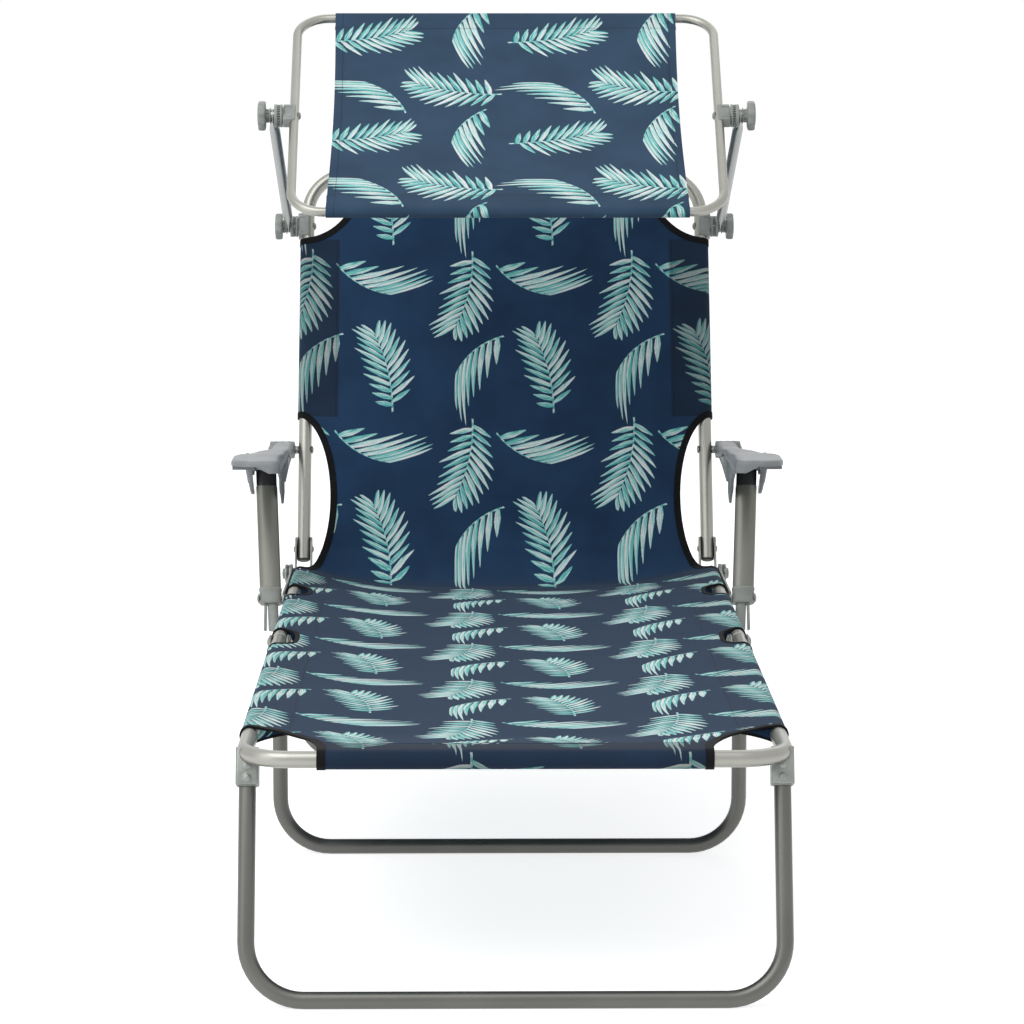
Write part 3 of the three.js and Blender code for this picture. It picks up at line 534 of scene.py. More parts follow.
class Shaper:
    """A mesh in the making, drawn in millimetres in a station's frame with bmesh operators."""

    def __init__(self) -> None:
        """Starts an empty mesh."""
        self.mesh = bmesh.new()

    def absorb(
        self, part: bmesh.types.BMesh, soften: float = 0.0, segments: int = 3, sharp: float = 32.0
    ) -> Shaper:
        """Rounds a part's sharp edges and adds it to this mesh.

        Args:
            part: The part, which is freed.
            soften: The rounding's width in millimetres, or 0 for none.
            segments: How many steps the rounding has.
            sharp: The least angle, in degrees, of an edge that is rounded.

        Returns:
            This shaper.
        """
        bmesh.ops.remove_doubles(part, verts=part.verts[:], dist=0.001)
        bmesh.ops.recalc_face_normals(part, faces=part.faces[:])
        if soften > 0.0:
            limit = math.radians(sharp)
            edges = [e for e in part.edges if len(e.link_faces) == 2 and e.calc_face_angle(0.0) > limit]
            bmesh.ops.bevel(
                part, geom=edges, offset=soften, offset_type="OFFSET", segments=segments, profile=0.5,
                affect="EDGES", material=-1, clamp_overlap=True,
            )
        pour(part, self.mesh)
        return self

    def bar(
        self, corners: Sequence[Sequence[float]], bend: float, across: float, deep: float | None = None,
        sides: int = ROUND_SIDES, soften: float = 0.6,
    ) -> Shaper:
        """Draws a round or oval bar along straight stretches and bends, as on a tube bender.

        Args:
            corners: The ends and the corners between them.
            bend: The bends' radius.
            across: The section's half-width along X where the bar starts, or across the bend.
            deep: The section's other half-width, or the same.
            sides: How many sides the section has.
            soften: The rounding of the two end faces.

        Returns:
            This shaper.
        """
        deep = across if deep is None else deep
        corners = [Vector(corner) for corner in corners]
        part = bmesh.new()
        way = (corners[1] - corners[0]).normalized()
        ring = bmesh.ops.create_circle(part, cap_ends=False, radius=1.0, segments=sides)["verts"]
        bmesh.ops.scale(part, vec=(across, deep, 1.0), verts=ring)
        side = Vector((1.0, 0.0, 0.0)) if abs(way.x) < 0.9 else Vector((0.0, 0.0, 1.0))
        side = (side - way * side.dot(way)).normalized()
        turn = Matrix((side, way.cross(side), way)).transposed().to_4x4()
        bmesh.ops.transform(part, matrix=Matrix.Translation(corners[0]) @ turn, verts=ring)
        here = corners[0].copy()
        edges = part.edges[:]
        first = list(edges)
        for i in range(1, len(corners)):
            way = (corners[i] - corners[i - 1]).normalized()
            inset, angle, after = 0.0, 0.0, way
            if i < len(corners) - 1:
                after = (corners[i + 1] - corners[i]).normalized()
                angle = way.angle(after)
                inset = bend * math.tan(angle / 2.0)
            target = corners[i] - way * inset
            step = target - here
            if step.length > 1e-4:
                made = bmesh.ops.extrude_edge_only(part, edges=edges)["geom"]
                edges = only(made, bmesh.types.BMEdge)
                bmesh.ops.translate(part, vec=step, verts=only(made, bmesh.types.BMVert))
            here = target
            if angle > 1e-4:
                inward = (after - way * after.dot(way)).normalized()
                verts = list({v for e in edges for v in e.verts})
                made = bmesh.ops.spin(
                    part, geom=verts + edges, cent=here + inward * bend, axis=way.cross(after).normalized(),
                    angle=angle, steps=max(3, round(BEND_STEPS * angle / (math.pi / 2.0))), use_merge=False,
                    use_duplicate=False,
                )["geom_last"]
                edges = only(made, bmesh.types.BMEdge)
                here = corners[i] + after * inset
        closed = (corners[-1] - corners[0]).length < 1e-3
        if not closed:
            bmesh.ops.contextual_create(part, geom=first)
            bmesh.ops.contextual_create(part, geom=edges)
        return self.absorb(part, 0.0 if closed else soften, 3, 60.0)

    def lathe(
        self, profile: Outline, y: float = 0.0, z: float = 0.0, sides: int = ROUND_SIDES,
        soften: float = 0.0,
    ) -> Shaper:
        """Turns a profile about an axis along X.

        Args:
            profile: Points as X and radius, from one end to the other.
            y: The axis's place.
            z: The axis's height.
            sides: How many steps a turn has.
            soften: The rounding of sharp rims.

        Returns:
            This shaper.
        """
        part = bmesh.new()
        verts = [part.verts.new((x, radius, 0.0)) for x, radius in profile]
        edges = [part.edges.new(pair) for pair in zip(verts, verts[1:])]
        bmesh.ops.spin(
            part, geom=verts + edges, cent=(0.0, 0.0, 0.0), axis=(1.0, 0.0, 0.0), angle=math.tau, steps=sides,
            use_merge=True, use_duplicate=False,
        )
        bmesh.ops.translate(part, vec=(0.0, y, z), verts=part.verts[:])
        return self.absorb(part, soften, 2, 35.0)

    def drum(
        self, radius: float, start: float, end: float, y: float = 0.0, z: float = 0.0, soften: float = 0.5,
        sides: int = ROUND_SIDES,
    ) -> Shaper:
        """Draws a closed round drum along X, with its rims rounded."""
        profile = [(start, 0.0), (start, radius), (end, radius), (end, 0.0)]
        return self.lathe(profile, y, z, sides, soften)

    def dome(self, radius: float, rise: float, x: float, y: float = 0.0, z: float = 0.0) -> Shaper:
        """Draws a domed rivet head on a plane across X.

        Args:
            radius: The head's radius.
            rise: Its height, which is negative for a head that faces -X.
            x: The plane's place.
            y: The head's place.
            z: The head's height above the station.

        Returns:
            This shaper.
        """
        steps = 6
        profile = [(x, 0.0), (x, radius)]
        for i in range(1, steps + 1):
            turn = math.pi / 2.0 * i / steps
            reach = 0.0 if i == steps else radius * math.cos(turn)
            profile.append((x + rise * (0.2 + 0.8 * math.sin(turn)), reach))
        return self.lathe(profile, y, z, 24)

    def plate(
        self, outline: Outline, start: float, end: float, soften: float = 0.5,
        flat: bool = False, segments: int = 3,
    ) -> Shaper:
        """Draws an outline and gives it thickness.

        Args:
            outline: Points as Y and Z, or as X and Y where the plate lies flat.
            start: Where the thickness starts, along X, or along Z where it lies flat.
            end: Where it ends.
            soften: The rounding of its edges.
            flat: Whether the outline is a plan rather than a side view.
            segments: How many steps the rounding has.

        Returns:
            This shaper.
        """
        part = bmesh.new()
        spots = [(a, b, start) if flat else (start, a, b) for a, b in outline]
        face = part.faces.new([part.verts.new(spot) for spot in spots])
        made = bmesh.ops.extrude_face_region(part, geom=[face])["geom"]
        depth = (0.0, 0.0, end - start) if flat else (end - start, 0.0, 0.0)
        bmesh.ops.translate(part, vec=depth, verts=only(made, bmesh.types.BMVert))
        return self.absorb(part, soften, segments, 40.0)

    def place(self, other: Shaper, matrix: Matrix | None = None) -> Shaper:
        """Adds a copy of another shape.

        Args:
            other: The other shape, which stays whole.
            matrix: How the copy is moved and turned, if it is.

        Returns:
            This shaper.
        """
        copy = other.mesh.copy()
        if matrix is not None:
            bmesh.ops.transform(copy, matrix=matrix, verts=copy.verts[:])
        return self.absorb(copy)

    def at(self, y: float, z: float = 0.0) -> Shaper:
        """Gives a copy of this shape, moved along its station's Y and Z."""
        return Shaper().place(self, moved(0.0, y, z))

    def loft(
        self, rings: Sequence[tuple[float, float, float, float, float]], power: float = 2.0, sides: int = 28
    ) -> Shaper:
        """Draws a closed body through oval rings that stand across Y.

        Args:
            rings: Each ring's Y, its centre's X and Z, and its half-widths along X and Z.
            power: 2 for ovals, and more for squarer rings.
            sides: How many points a ring has.

        Returns:
            This shaper.
        """
        part, cells = grid(sides, len(rings))
        for vert, column, row in cells:
            turn = math.tau * column / sides
            y, x, z, half_x, half_z = rings[row]
            wave, rise = math.cos(turn), math.sin(turn)
            across = math.copysign(abs(wave) ** (2.0 / power), wave) * half_x
            up = math.copysign(abs(rise) ** (2.0 / power), rise) * half_z
            vert.co = Vector((x + across, y, z + up))
        bmesh.ops.remove_doubles(part, verts=part.verts[:], dist=0.001)
        for y in (rings[0][0], rings[-1][0]):
            rim = [e for e in part.edges if e.is_boundary and abs(e.verts[0].co.y - y) < 1e-4]
            bmesh.ops.contextual_create(part, geom=rim)
        return self.absorb(part)

    def block(
        self, low: tuple[float, float, float], high: tuple[float, float, float], soften: float = 1.0
    ) -> Shaper:
        """Draws a block between two corners, with rounded edges.

        Args:
            low: The corner with the smaller values.
            high: The opposite corner.
            soften: The rounding of its edges.

        Returns:
            This shaper.
        """
        part = bmesh.new()
        made = bmesh.ops.create_cube(part, size=1.0)["verts"]
        bmesh.ops.scale(part, vec=[b - a for a, b in zip(low, high)], verts=made)
        bmesh.ops.translate(part, vec=[(a + b) / 2.0 for a, b in zip(low, high)], verts=made)
        return self.absorb(part, soften)


class Workshop:
    """Makes finished pieces from shapes, dresses them and sets them on their bodies."""

    def __init__(self, frames: Frames) -> None:
        """Keeps the frames of reference."""
        self.frames = frames

    def piece(
        self, name: str, shape: Shaper, station: Station, body: str, finish: Finish,
        replaces: Sequence[str] = (), mirror: bool = False,
    ) -> bpy.types.Object:
        """Makes one piece from a shape.

        Args:
            name: The piece's name.
            shape: The shape, which stays whole so that it can be used again.
            station: The frame that it is drawn in.
            body: The CAD body that it rides on.
            finish: Its finish.
            replaces: The CAD nodes that it stands for.
            mirror: Whether it is the left-hand copy of a right-hand shape.

        Returns:
            The new object.
        """
        copy = shape.mesh.copy()
        matrix = self.frames.matrices[station]
        if mirror:
            matrix = matrix @ Matrix.Scale(-1.0, 4, Vector((1.0, 0.0, 0.0)))
        bmesh.ops.transform(copy, matrix=matrix, verts=copy.verts[:])
        if mirror:
            bmesh.ops.reverse_faces(copy, faces=copy.faces[:])
        data = bpy.data.meshes.new(name)
        copy.to_mesh(data)
        copy.free()
        data.shade_smooth()
        data.set_sharp_from_angle(angle=math.radians(42.0))
        made = shown(name, data)
        data.materials.append(finish.material())
        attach(made, body)
        if replaces:
            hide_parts(*replaces)
        LOG.info("%s rides on %s", name, body)
        return made

    def pair(
        self, name: str, shape: Shaper, station: Station, body: str, finish: Finish, replaces: bool = True
    ) -> None:
        """Makes a right-hand piece and its mirror image.

        Args:
            name: The piece's name without its side.
            shape: The right-hand shape.
            station: The frame that it is drawn in.
            body: The body, in which {side} becomes left or right.
            finish: Its finish.
            replaces: Whether it stands for the CAD node of the same name.
        """
        for side in Side:
            nodes = [f"{name}_{side.value}"] if replaces else []
            ridden = body.format(side=side.value)
            skin = f"{name}_skin_{side.value}"
            self.piece(skin, shape, station, ridden, finish, nodes, side is Side.LEFT)


LEAF_INPUTS = ("Length", "Reach", "Spacing", "Leaflet", "Lean", "Bend", "One sided", "Seed")
LEAF_TONES = ((0.28, 0x2F8A91), (0.42, 0x5CC0BF), (0.54, 0x98E3DE), (0.63, 0xD0F6F3), (0.7, 0xFFFFFF))
# Vertex attributes: how far inside the side hem, how far inside an end sleeve, and how much painted shade the
# hem gets.
SEWN = ("hem", "sleeve", "hem_shade_share")
STITCH = 3.6
STITCH_INSET = 4.0
THREAD_PITCH = 0.9


@dataclass(frozen=True)
class Frond:
    """One printed palm leaf, in millimetres: its place in the repeat, its turn, then its LEAF_INPUTS."""

    place: tuple[float, float]
    turn: float
    length: float
    reach: float
    spacing: float
    leaflet: float
    lean: float
    bend: float
    one_sided: float
    seed: float


@dataclass(frozen=True)
class PrintedCloth(Finish):
    """Woven sling cloth in navy with a repeating print of palm leaves."""

    repeat: tuple[float, float] = (225.0, 248.0)
    turned: bool = False
    navy: int = 0x274262
    # How strongly doubled hems and sleeves are darkened: painted shade.
    painted_hem_shade: float = 0.5
    fronds: tuple[Frond, ...] = (
        Frond((54.0, 66.0), 104.0, 114.0, 41.0, 9.8, 5.3, 1.1, 0.22, 0.0, 1.0),
        Frond((186.0, 86.0), 222.0, 84.0, 50.0, 10.6, 5.8, 1.3, 0.44, 1.0, 2.0),
        Frond((166.0, 179.0), 256.0, 114.0, 42.0, 9.8, 5.3, 1.1, -0.26, 0.0, 3.0),
        Frond((30.0, 196.0), 332.0, 86.0, 52.0, 10.8, 5.9, 1.3, 0.4, 1.0, 4.0),
    )

    def dress(self, graph: Graph) -> dict[str, object]:
        """Gives the print, the weave, the cloth's soft sheen and a painted shade on doubled hems and sleeves.

        Args:
            graph: The material's graph.

        Returns:
            What goes into the shader's inputs.
        """
        flat = graph.node("ShaderNodeUVMap", uv_map="cloth").outputs[0]
        place = graph.vector("MULTIPLY", flat, (1000.0, 1000.0, 0.0))
        layers, thread = sewn(graph, place)
        # Painted shade: where the cloth lies double, it is mixed towards a near-black grey.
        dark = graph.times(layers, self.painted_hem_shade)
        shade = graph.mix(dark, self.printed(graph, place), (0.015, 0.016, 0.018, 1.0))
        raised = graph.bump(graph.minus(thread, layers), 0.5, 0.0006, Normal=weave_normal(graph, place))
        return {
            "Base Color": graph.mix(graph.times(thread, 0.8), shade, (0.008, 0.01, 0.014, 1.0)),
            "Roughness": 0.86,
            "Specular IOR Level": 0.12,
            "Sheen Weight": 0.06,
            "Sheen Roughness": 0.5,
            "Normal": raised,
        }

    def ground(self, graph: Graph, place: Socket) -> Socket:
        """Gives the navy ground, with a painted sheen that turns it greyer where it is seen at a flat angle.

        Args:
            graph: The material's graph.
            place: The cloth's flat place in millimetres.

        Returns:
            The colour's socket.
        """
        base = linear(self.navy)
        navy = graph.ramp(graph.noise(place, 0.012, 3.0), [(0.3, tint(base, 0.84)), (0.7, tint(base, 1.16))])
        # Painted sheen: at flat viewing angles, the navy is mixed towards a greyer, less blue colour.
        facing = graph.node("ShaderNodeLayerWeight").outputs["Facing"]
        painted_grazing_sheen = graph.times(graph.minus(facing, 0.55), 4.0, clamp=True)
        return graph.mix(painted_grazing_sheen, navy, (base[0], base[1] * 0.85, base[2] * 0.76, 1.0))

    def printed(self, graph: Graph, place: Socket) -> Socket:
        """Prints the leaves over the ground.

        Args:
            graph: The material's graph.
            place: The cloth's flat place in millimetres.

        Returns:
            The colour's socket.
        """
        colour = self.ground(graph, place)
        group = frond_group()
        laid = graph.turned(place, math.pi / 2.0 if self.turned else 0.0)
        across, along = (size / 2.0 for size in self.repeat)
        for frond in self.fronds:
            shifted = graph.vector("SUBTRACT", laid, (*frond.place, 0.0))
            wrapped = graph.vector("WRAP", shifted, (across, along, 1.0), (-across, -along, -1.0))
            feeds = {"Place": graph.turned(wrapped, -math.radians(frond.turn))}
            feeds.update(zip(LEAF_INPUTS, astuple(frond)[2:]))
            leaf = graph.node("ShaderNodeGroup", feeds, node_tree=group).outputs
            colour = graph.mix(leaf["Cover"], colour, leaf["Colour"])
        return colour


def sewn(graph: Graph, place: Socket) -> tuple[Socket, Socket]:
    """Finds where cloth lies double, which gets painted shade, and where a stitch shows.

    Args:
        graph: The material's graph.
        place: The cloth's flat place in millimetres.

    Returns:
        The doubled cloth's mask, which carries the painted shade, and the stitches' mask.
    """
    nodes = [graph.node("ShaderNodeAttribute", attribute_name=name) for name in SEWN]
    hem, sleeve, hem_shade_share = (node.outputs["Fac"] for node in nodes)
    # Painted shade: side hems count by their painted-shade share, and sleeves count in full.
    side = graph.times(graph.times(hem, 2.0, clamp=True), hem_shade_share)
    double = graph.most(side, graph.times(sleeve, 2.0, clamp=True))
    parts = graph.parts(place)
    marks = []
    for inside, along in ((hem, parts[1]), (sleeve, parts[0])):
        gap = graph.sum("ABSOLUTE", graph.minus(inside, STITCH_INSET))
        line = graph.times(graph.minus(0.55, gap), 4.0, clamp=True)
        beat = graph.sum("SINE", graph.times(along, math.tau / STITCH))
        marks.append(graph.times(line, graph.plus(graph.times(beat, 2.2), 1.2, clamp=True)))
    return double, graph.most(*marks)


def weave_normal(graph: Graph, place: Socket) -> Socket:
    """Adds a plain weave with uneven threads.

    Args:
        graph: The material's graph.
        place: The cloth's flat place in millimetres.

    Returns:
        The bumped normal's socket.
    """
    parts = graph.parts(place)
    pitch = math.tau / THREAD_PITCH
    across, along = (graph.sum("SINE", graph.times(parts[axis], pitch)) for axis in (0, 1))
    slub = graph.noise(graph.vector("MULTIPLY", place, (0.2, 2.4, 1.0)), 1.0)
    fine = graph.bump(graph.times(across, along), 0.14, 0.0002)
    return graph.bump(slub, 0.12, 0.0004, Normal=fine)


def frond_group() -> bpy.types.NodeTree:
    """Makes the node group that draws one palm leaf, once.

    The leaf lies along +X from its stalk. Its leaflets stand off the stalk like slanted stripes, each with
    its own length and tone, and with brush streaks along it.

    Returns:
        The group.
    """
    found = bpy.data.node_groups.get("Palm leaf")
    if found is not None:
        return found
    tree = bpy.data.node_groups.new("Palm leaf", "ShaderNodeTree")
    face = tree.interface
    face.new_socket("Place", in_out="INPUT", socket_type="NodeSocketVector")
    for name in LEAF_INPUTS:
        face.new_socket(name, in_out="INPUT", socket_type="NodeSocketFloat")
    face.new_socket("Cover", in_out="OUTPUT", socket_type="NodeSocketFloat")
    face.new_socket("Colour", in_out="OUTPUT", socket_type="NodeSocketColor")
    graph = Graph(tree)
    sum_of, plus, minus, times, over = graph.sum, graph.plus, graph.minus, graph.times, graph.over
    given = graph.node("NodeGroupInput").outputs
    length, spacing, fan_lean = given["Length"], given["Spacing"], given["Lean"]
    parts = graph.parts(given["Place"])
    along = plus(parts[0], times(length, 0.5))
    share = over(along, length)
    swing = times(times(share, minus(share, 1.0)), length)
    off = minus(parts[1], times(swing, given["Bend"]))
    side = sum_of("SIGN", off)
    out = sum_of("ABSOLUTE", off)
    # Each leaflet's root is found along the stalk, from how far it leans and fans out.
    first = plus(0.3, times(given["One sided"], 0.35))
    curl = times(over(times(out, out), given["Reach"]), 0.1)
    ahead = plus(curl, times(out, first))
    fan = plus(1.0, over(times(out, fan_lean), length))
    root = over(minus(along, ahead), fan)
    lean = plus(first, over(times(fan_lean, root), length))
    shift = times(side, 0.25)
    count = plus(over(root, spacing), shift)
    index = sum_of("FLOOR", count)
    offset = minus(minus(count, index), 0.5)
    middle = minus(plus(index, 0.5), shift)
    start = over(times(middle, spacing), length)
    tag = graph.joined(index, side, given["Seed"])
    luck = graph.node("ShaderNodeTexWhiteNoise", {"Vector": tag}, noise_dimensions="3D").outputs["Value"]
    # A leaflet's length swells near the stalk's foot and tapers to its tip.
    held = graph.most(sum_of("MINIMUM", start, 1.0), 0.0)
    swell = sum_of("POWER", plus(held, 0.12), 0.4)
    taper = sum_of("POWER", minus(1.0, held), 0.5)
    grown = times(times(swell, taper), 1.45)
    grown = times(grown, plus(0.86, times(luck, 0.24)))
    run = over(out, graph.most(times(grown, given["Reach"]), 0.01))
    # Its width comes from its own run, and its edge is frayed like a brush stroke.
    tip = sum_of("POWER", graph.most(minus(1.0, run), 0.0), 0.62)
    foot = plus(0.34, times(times(run, 2.3, clamp=True), 0.66))
    width = times(times(tip, foot), given["Leaflet"])
    slope = sum_of("SQRT", plus(times(lean, lean), 1.0))
    across = over(times(offset, times(spacing, fan)), slope)
    frayed = minus(graph.noise(given["Place"], 0.45), 0.5)
    edge = plus(minus(width, sum_of("ABSOLUTE", across)), frayed)
    blade = plus(times(edge, 1.6), 0.5, clamp=True)
    inside = times(sum_of("GREATER_THAN", start, 0.02), sum_of("LESS_THAN", start, 0.99))
    kept = times(times(blade, inside), sum_of("LESS_THAN", run, 1.0))
    bare = times(sum_of("LESS_THAN", side, 0.0), given["One sided"])
    leaflets = times(kept, minus(1.0, bare))
    # The stalk is a line that thins towards the tip.
    thin = times(minus(1.08, share), 1.15)
    stalk = plus(times(minus(thin, out), 1.8), 0.5, clamp=True)
    stalk = times(stalk, times(sum_of("GREATER_THAN", share, -0.07), sum_of("LESS_THAN", share, 0.97)))
    brush = graph.joined(times(across, 1.25), times(out, 0.07), times(luck, 40.0))
    streak = graph.noise(brush, 1.0, 3.0, 0.62)
    lit = times(times(offset, side), 0.3)
    tone = plus(plus(streak, lit), times(luck, 0.16))
    tone = minus(tone, times(stalk, 0.06))
    colour = graph.ramp(tone, [(stop, linear(code)) for stop, code in LEAF_TONES])
    cover = times(graph.most(leaflets, stalk), 0.96)
    graph.fill(graph.node("NodeGroupOutput"), {"Cover": cover, "Colour": colour})
    return tree


@dataclass(frozen=True)
class BindingTape(Finish):
    """Black binding tape with a close rib."""

    def dress(self, graph: Graph) -> dict[str, object]:
        """Gives the rib and a dusty sheen.

        Args:
            graph: The material's graph.

        Returns:
            What goes into the shader's inputs.
        """
        place = graph.place()
        wear = graph.noise(place, 40.0, 3.0)
        return {
            "Base Color": graph.ramp(wear, [(0.3, linear(0x0E0F11)), (0.75, linear(0x191A1D))]),
            "Roughness": 0.85,
            "Specular IOR Level": 0.15,
            "Sheen Weight": 0.03,
            "Normal": graph.bump(graph.noise(place, 1400.0), 0.3, 0.0004),
        }


CLOTH = PrintedCloth("Navy sling cloth", "cloth_navy")
# Painted light: the canopy uses the sling's print with a lighter navy, standing in for the stronger light on
# its upper face, and gets only a faint painted shade on its hems.
CANOPY_CLOTH = PrintedCloth("Navy canopy cloth painted lighter", "cloth_navy", turned=True, navy=0x39516A, painted_hem_shade=0.06)
TAPE = BindingTape("Black binding tape", "cloth_navy")


@dataclass
class SlingLine:
    """The sling's run in side view: round the foot tube, over the seat, up the back, round the top tube."""

    sizes: Sizes = SIZES
    stand: float = 10.0
    hem: float = 44.0
    bend_start: float = 1245.0
    back_start: float = 80.0
    seat_pull: float = 28.0
    back_pull: float = 65.0
    points: list[Vector] = field(default_factory=list)
    runs: list[float] = field(default_factory=list)
    marks: dict[str, float] = field(default_factory=dict)

    def __post_init__(self) -> None:
        """Draws the run as many short steps, and marks where each stretch begins."""
        top = self.sizes.rail_height
        turn = self.stand
        self._mark("hem")
        self._step(Vector((0.0, self.hem, top + turn - 2.2)))
        self._step(Vector((0.0, self.hem * 0.55, top + turn - 5.0)))
        self._step(Vector((0.0, turn * 0.6, top - turn * 0.86)))
        self._arc(Vector((0.0, 0.0, top)), turn, 270.0 + 25.0, 90.0)
        self._mark("front")
        self._line(Vector((0.0, 0.0, top + turn)), Vector((0.0, self.bend_start, top + turn)))
        self._mark("bend")
        start = self.points[-1].copy()
        end = self.on_back(self.back_start, turn)
        rise = self.on_back(self.back_start - self.back_pull, turn)
        handle = Vector((0.0, self.bend_start + self.seat_pull, top + turn))
        steps = 60
        for i in range(1, steps + 1):
            t = i / steps
            low = start * (1 - t) ** 3 + handle * 3 * t * (1 - t) ** 2
            self._step(low + rise * 3 * t * t * (1 - t) + end * t**3)
        self._mark("back")
        length = self.sizes.back_length
        self._line(self.points[-1].copy(), self.on_back(length, turn))
        self._mark("top")
        lean = self.sizes.back_lean
        self._arc(self.on_back(length, 0.0), turn, 180.0 - lean, -lean - 25.0)
        self._step(self.on_back(length - self.hem * 0.5, turn - 6.4))
        self._step(self.on_back(length - self.hem, turn - 2.2))
        self._mark("end")
        zero = self.marks["front"]
        self.runs = [run - zero for run in self.runs]
        self.marks = {name: run - zero for name, run in self.marks.items()}

    def on_back(self, along: float, off: float) -> Vector:
        """Gives a point by the back frame.

        Args:
            along: Its place along the frame from the pivot.
            off: How far it lies in front of the frame's plane.

        Returns:
            The point in side view.
        """
        lean = math.radians(self.sizes.back_lean)
        place = Vector((0.0, self.sizes.seat_end, self.sizes.pivot_height))
        up = Vector((0.0, math.sin(lean), math.cos(lean)))
        front = Vector((0.0, -math.cos(lean), math.sin(lean)))
        return place + up * along + front * off

    def _mark(self, name: str) -> None:
        """Notes the run so far under a name."""
        self.marks[name] = self.runs[-1] if self.runs else 0.0

    def _step(self, point: Vector) -> None:
        """Adds a point to the run."""
        run = self.runs[-1] + (point - self.points[-1]).length if self.points else 0.0
        self.runs.append(run)
        self.points.append(point)

    def _line(self, start: Vector, end: Vector) -> None:
        """Adds a straight stretch in short steps."""
        steps = max(2, round((end - start).length / 6.0))
        for i in range(1, steps + 1):
            self._step(start.lerp(end, i / steps))

    def _arc(self, centre: Vector, radius: float, first: float, last: float) -> None:
        """Adds a stretch round a tube.

        Args:
            centre: The tube's middle.
            radius: The stretch's radius.
            first: Its first angle in degrees, from +Y towards +Z.
            last: Its last angle.
        """
        steps = 14
        for i in range(1, steps + 1):
            turn = math.radians(first + (last - first) * i / steps)
            self._step(centre + Vector((0.0, math.cos(turn), math.sin(turn))) * radius)

    def at(self, run: float) -> tuple[Vector, Vector]:
        """Gives the point and the outward normal at a run.

        Args:
            run: The distance along the cloth from the top of the foot tube.

        Returns:
            The point and the normal, which points towards the sitter.
        """
        runs = self.runs
        held = min(max(run, runs[0]), runs[-1])
        low = min(bisect_right(runs, held), len(runs) - 1) - 1
        high = low + 1
        span = max(1e-6, runs[high] - runs[low])
        spot = self.points[low].lerp(self.points[high], (held - runs[low]) / span)
        before = self.points[max(0, low - 1)]
        after = self.points[min(len(runs) - 1, high + 1)]
        way = (after - before).normalized()
        return spot, Vector((0.0, -way.z, way.y))


def eased(value: float, stops: Outline) -> float:
    """Reads a smooth curve through a list of stops.

    Args:
        value: Where to read it.
        stops: Each stop's place and height, in order.

    Returns:
        The height there, held level past the first and last stops.
    """
    if value <= stops[0][0]:
        return stops[0][1]
    for (low, start), (high, end) in zip(stops, stops[1:]):
        if value <= high:
            share = (value - low) / (high - low)
            return start + (end - start) * share * share * (3.0 - 2.0 * share)
    return stops[-1][1]


@dataclass
class Cut:
    """A cut-out in the sling's edge, by the runs where it starts and ends."""

    start: float
    end: float
    inner: float
    shape: Callable[[float], float]
    tape: float = 1.0
    open_start: bool = False
    open_end: bool = False

    def width(self, run: float, lip: float) -> float:
        """Gives the cloth's half-width at a run inside the cut."""
        share = (run - self.start) / (self.end - self.start)
        return lip - (lip - self.inner) * self.shape(min(1.0, max(0.0, share)))


def round_end(share: float) -> float:
    """The shape of a corner cut that starts deep and runs out to the rail."""
    return math.sqrt(max(0.0, 1.0 - share * share))


def round_start(share: float) -> float:
    """The shape of a corner cut that starts at the rail and runs in deep."""
    return round_end(1.0 - share)


def oval(share: float) -> float:
    """The shape of an armhole."""
    return round_end(2.0 * share - 1.0)


def blunt(share: float) -> float:
    """The shape of a short square notch with round corners."""
    return max(0.0, 1.0 - abs(2.0 * share - 1.0) ** 4) ** 0.5


@dataclass
class Cloth:
    """A sheet of cloth whose shape is a function of its flat run and its flat place across."""

    stand: float = 10.0
    flat_columns: int = 15
    edge_columns: int = 17

    def spot(self, run: float, across: float) -> Vector:
        """Gives the place of a point of the flat cloth, in millimetres, in its station's frame."""
        raise NotImplementedError

    def width_at(self, run: float) -> float:
        """Gives the half-width of the flat cloth at a run."""
        raise NotImplementedError

    def rim_at(self, run: float) -> float:
        """Gives the place across where the columns change from wide to narrow."""
        raise NotImplementedError

    def sewn_at(self, run: float, across: float) -> tuple[float, float, float]:
        """Gives how far a point lies inside the side hem and inside a sleeve, and how much painted shade that
        hem gets.
        """
        raise NotImplementedError

    def across_at(self, run: float, column: int) -> float:
        """Gives the flat place across of a grid column, with narrow columns near the edge.

        Args:
            run: The run.
            column: The column, counted from the middle.

        Returns:
            The place across.
        """
        side = -1.0 if column < 0 else 1.0
        count = abs(column)
        width = self.width_at(run)
        rim = min(width - 5.0, self.rim_at(run))
        if count <= self.flat_columns:
            return side * rim * count / self.flat_columns
        return side * (rim + (width - rim) * (count - self.flat_columns) / self.edge_columns)

    def flat_area(self, rows: Sequence[float]) -> float:
        """Gives the flat area between the first and last rows, in square metres."""
        pairs = zip(rows, rows[1:])
        return sum((self.width_at(a) + self.width_at(b)) * (b - a) for a, b in pairs) * 1e-6


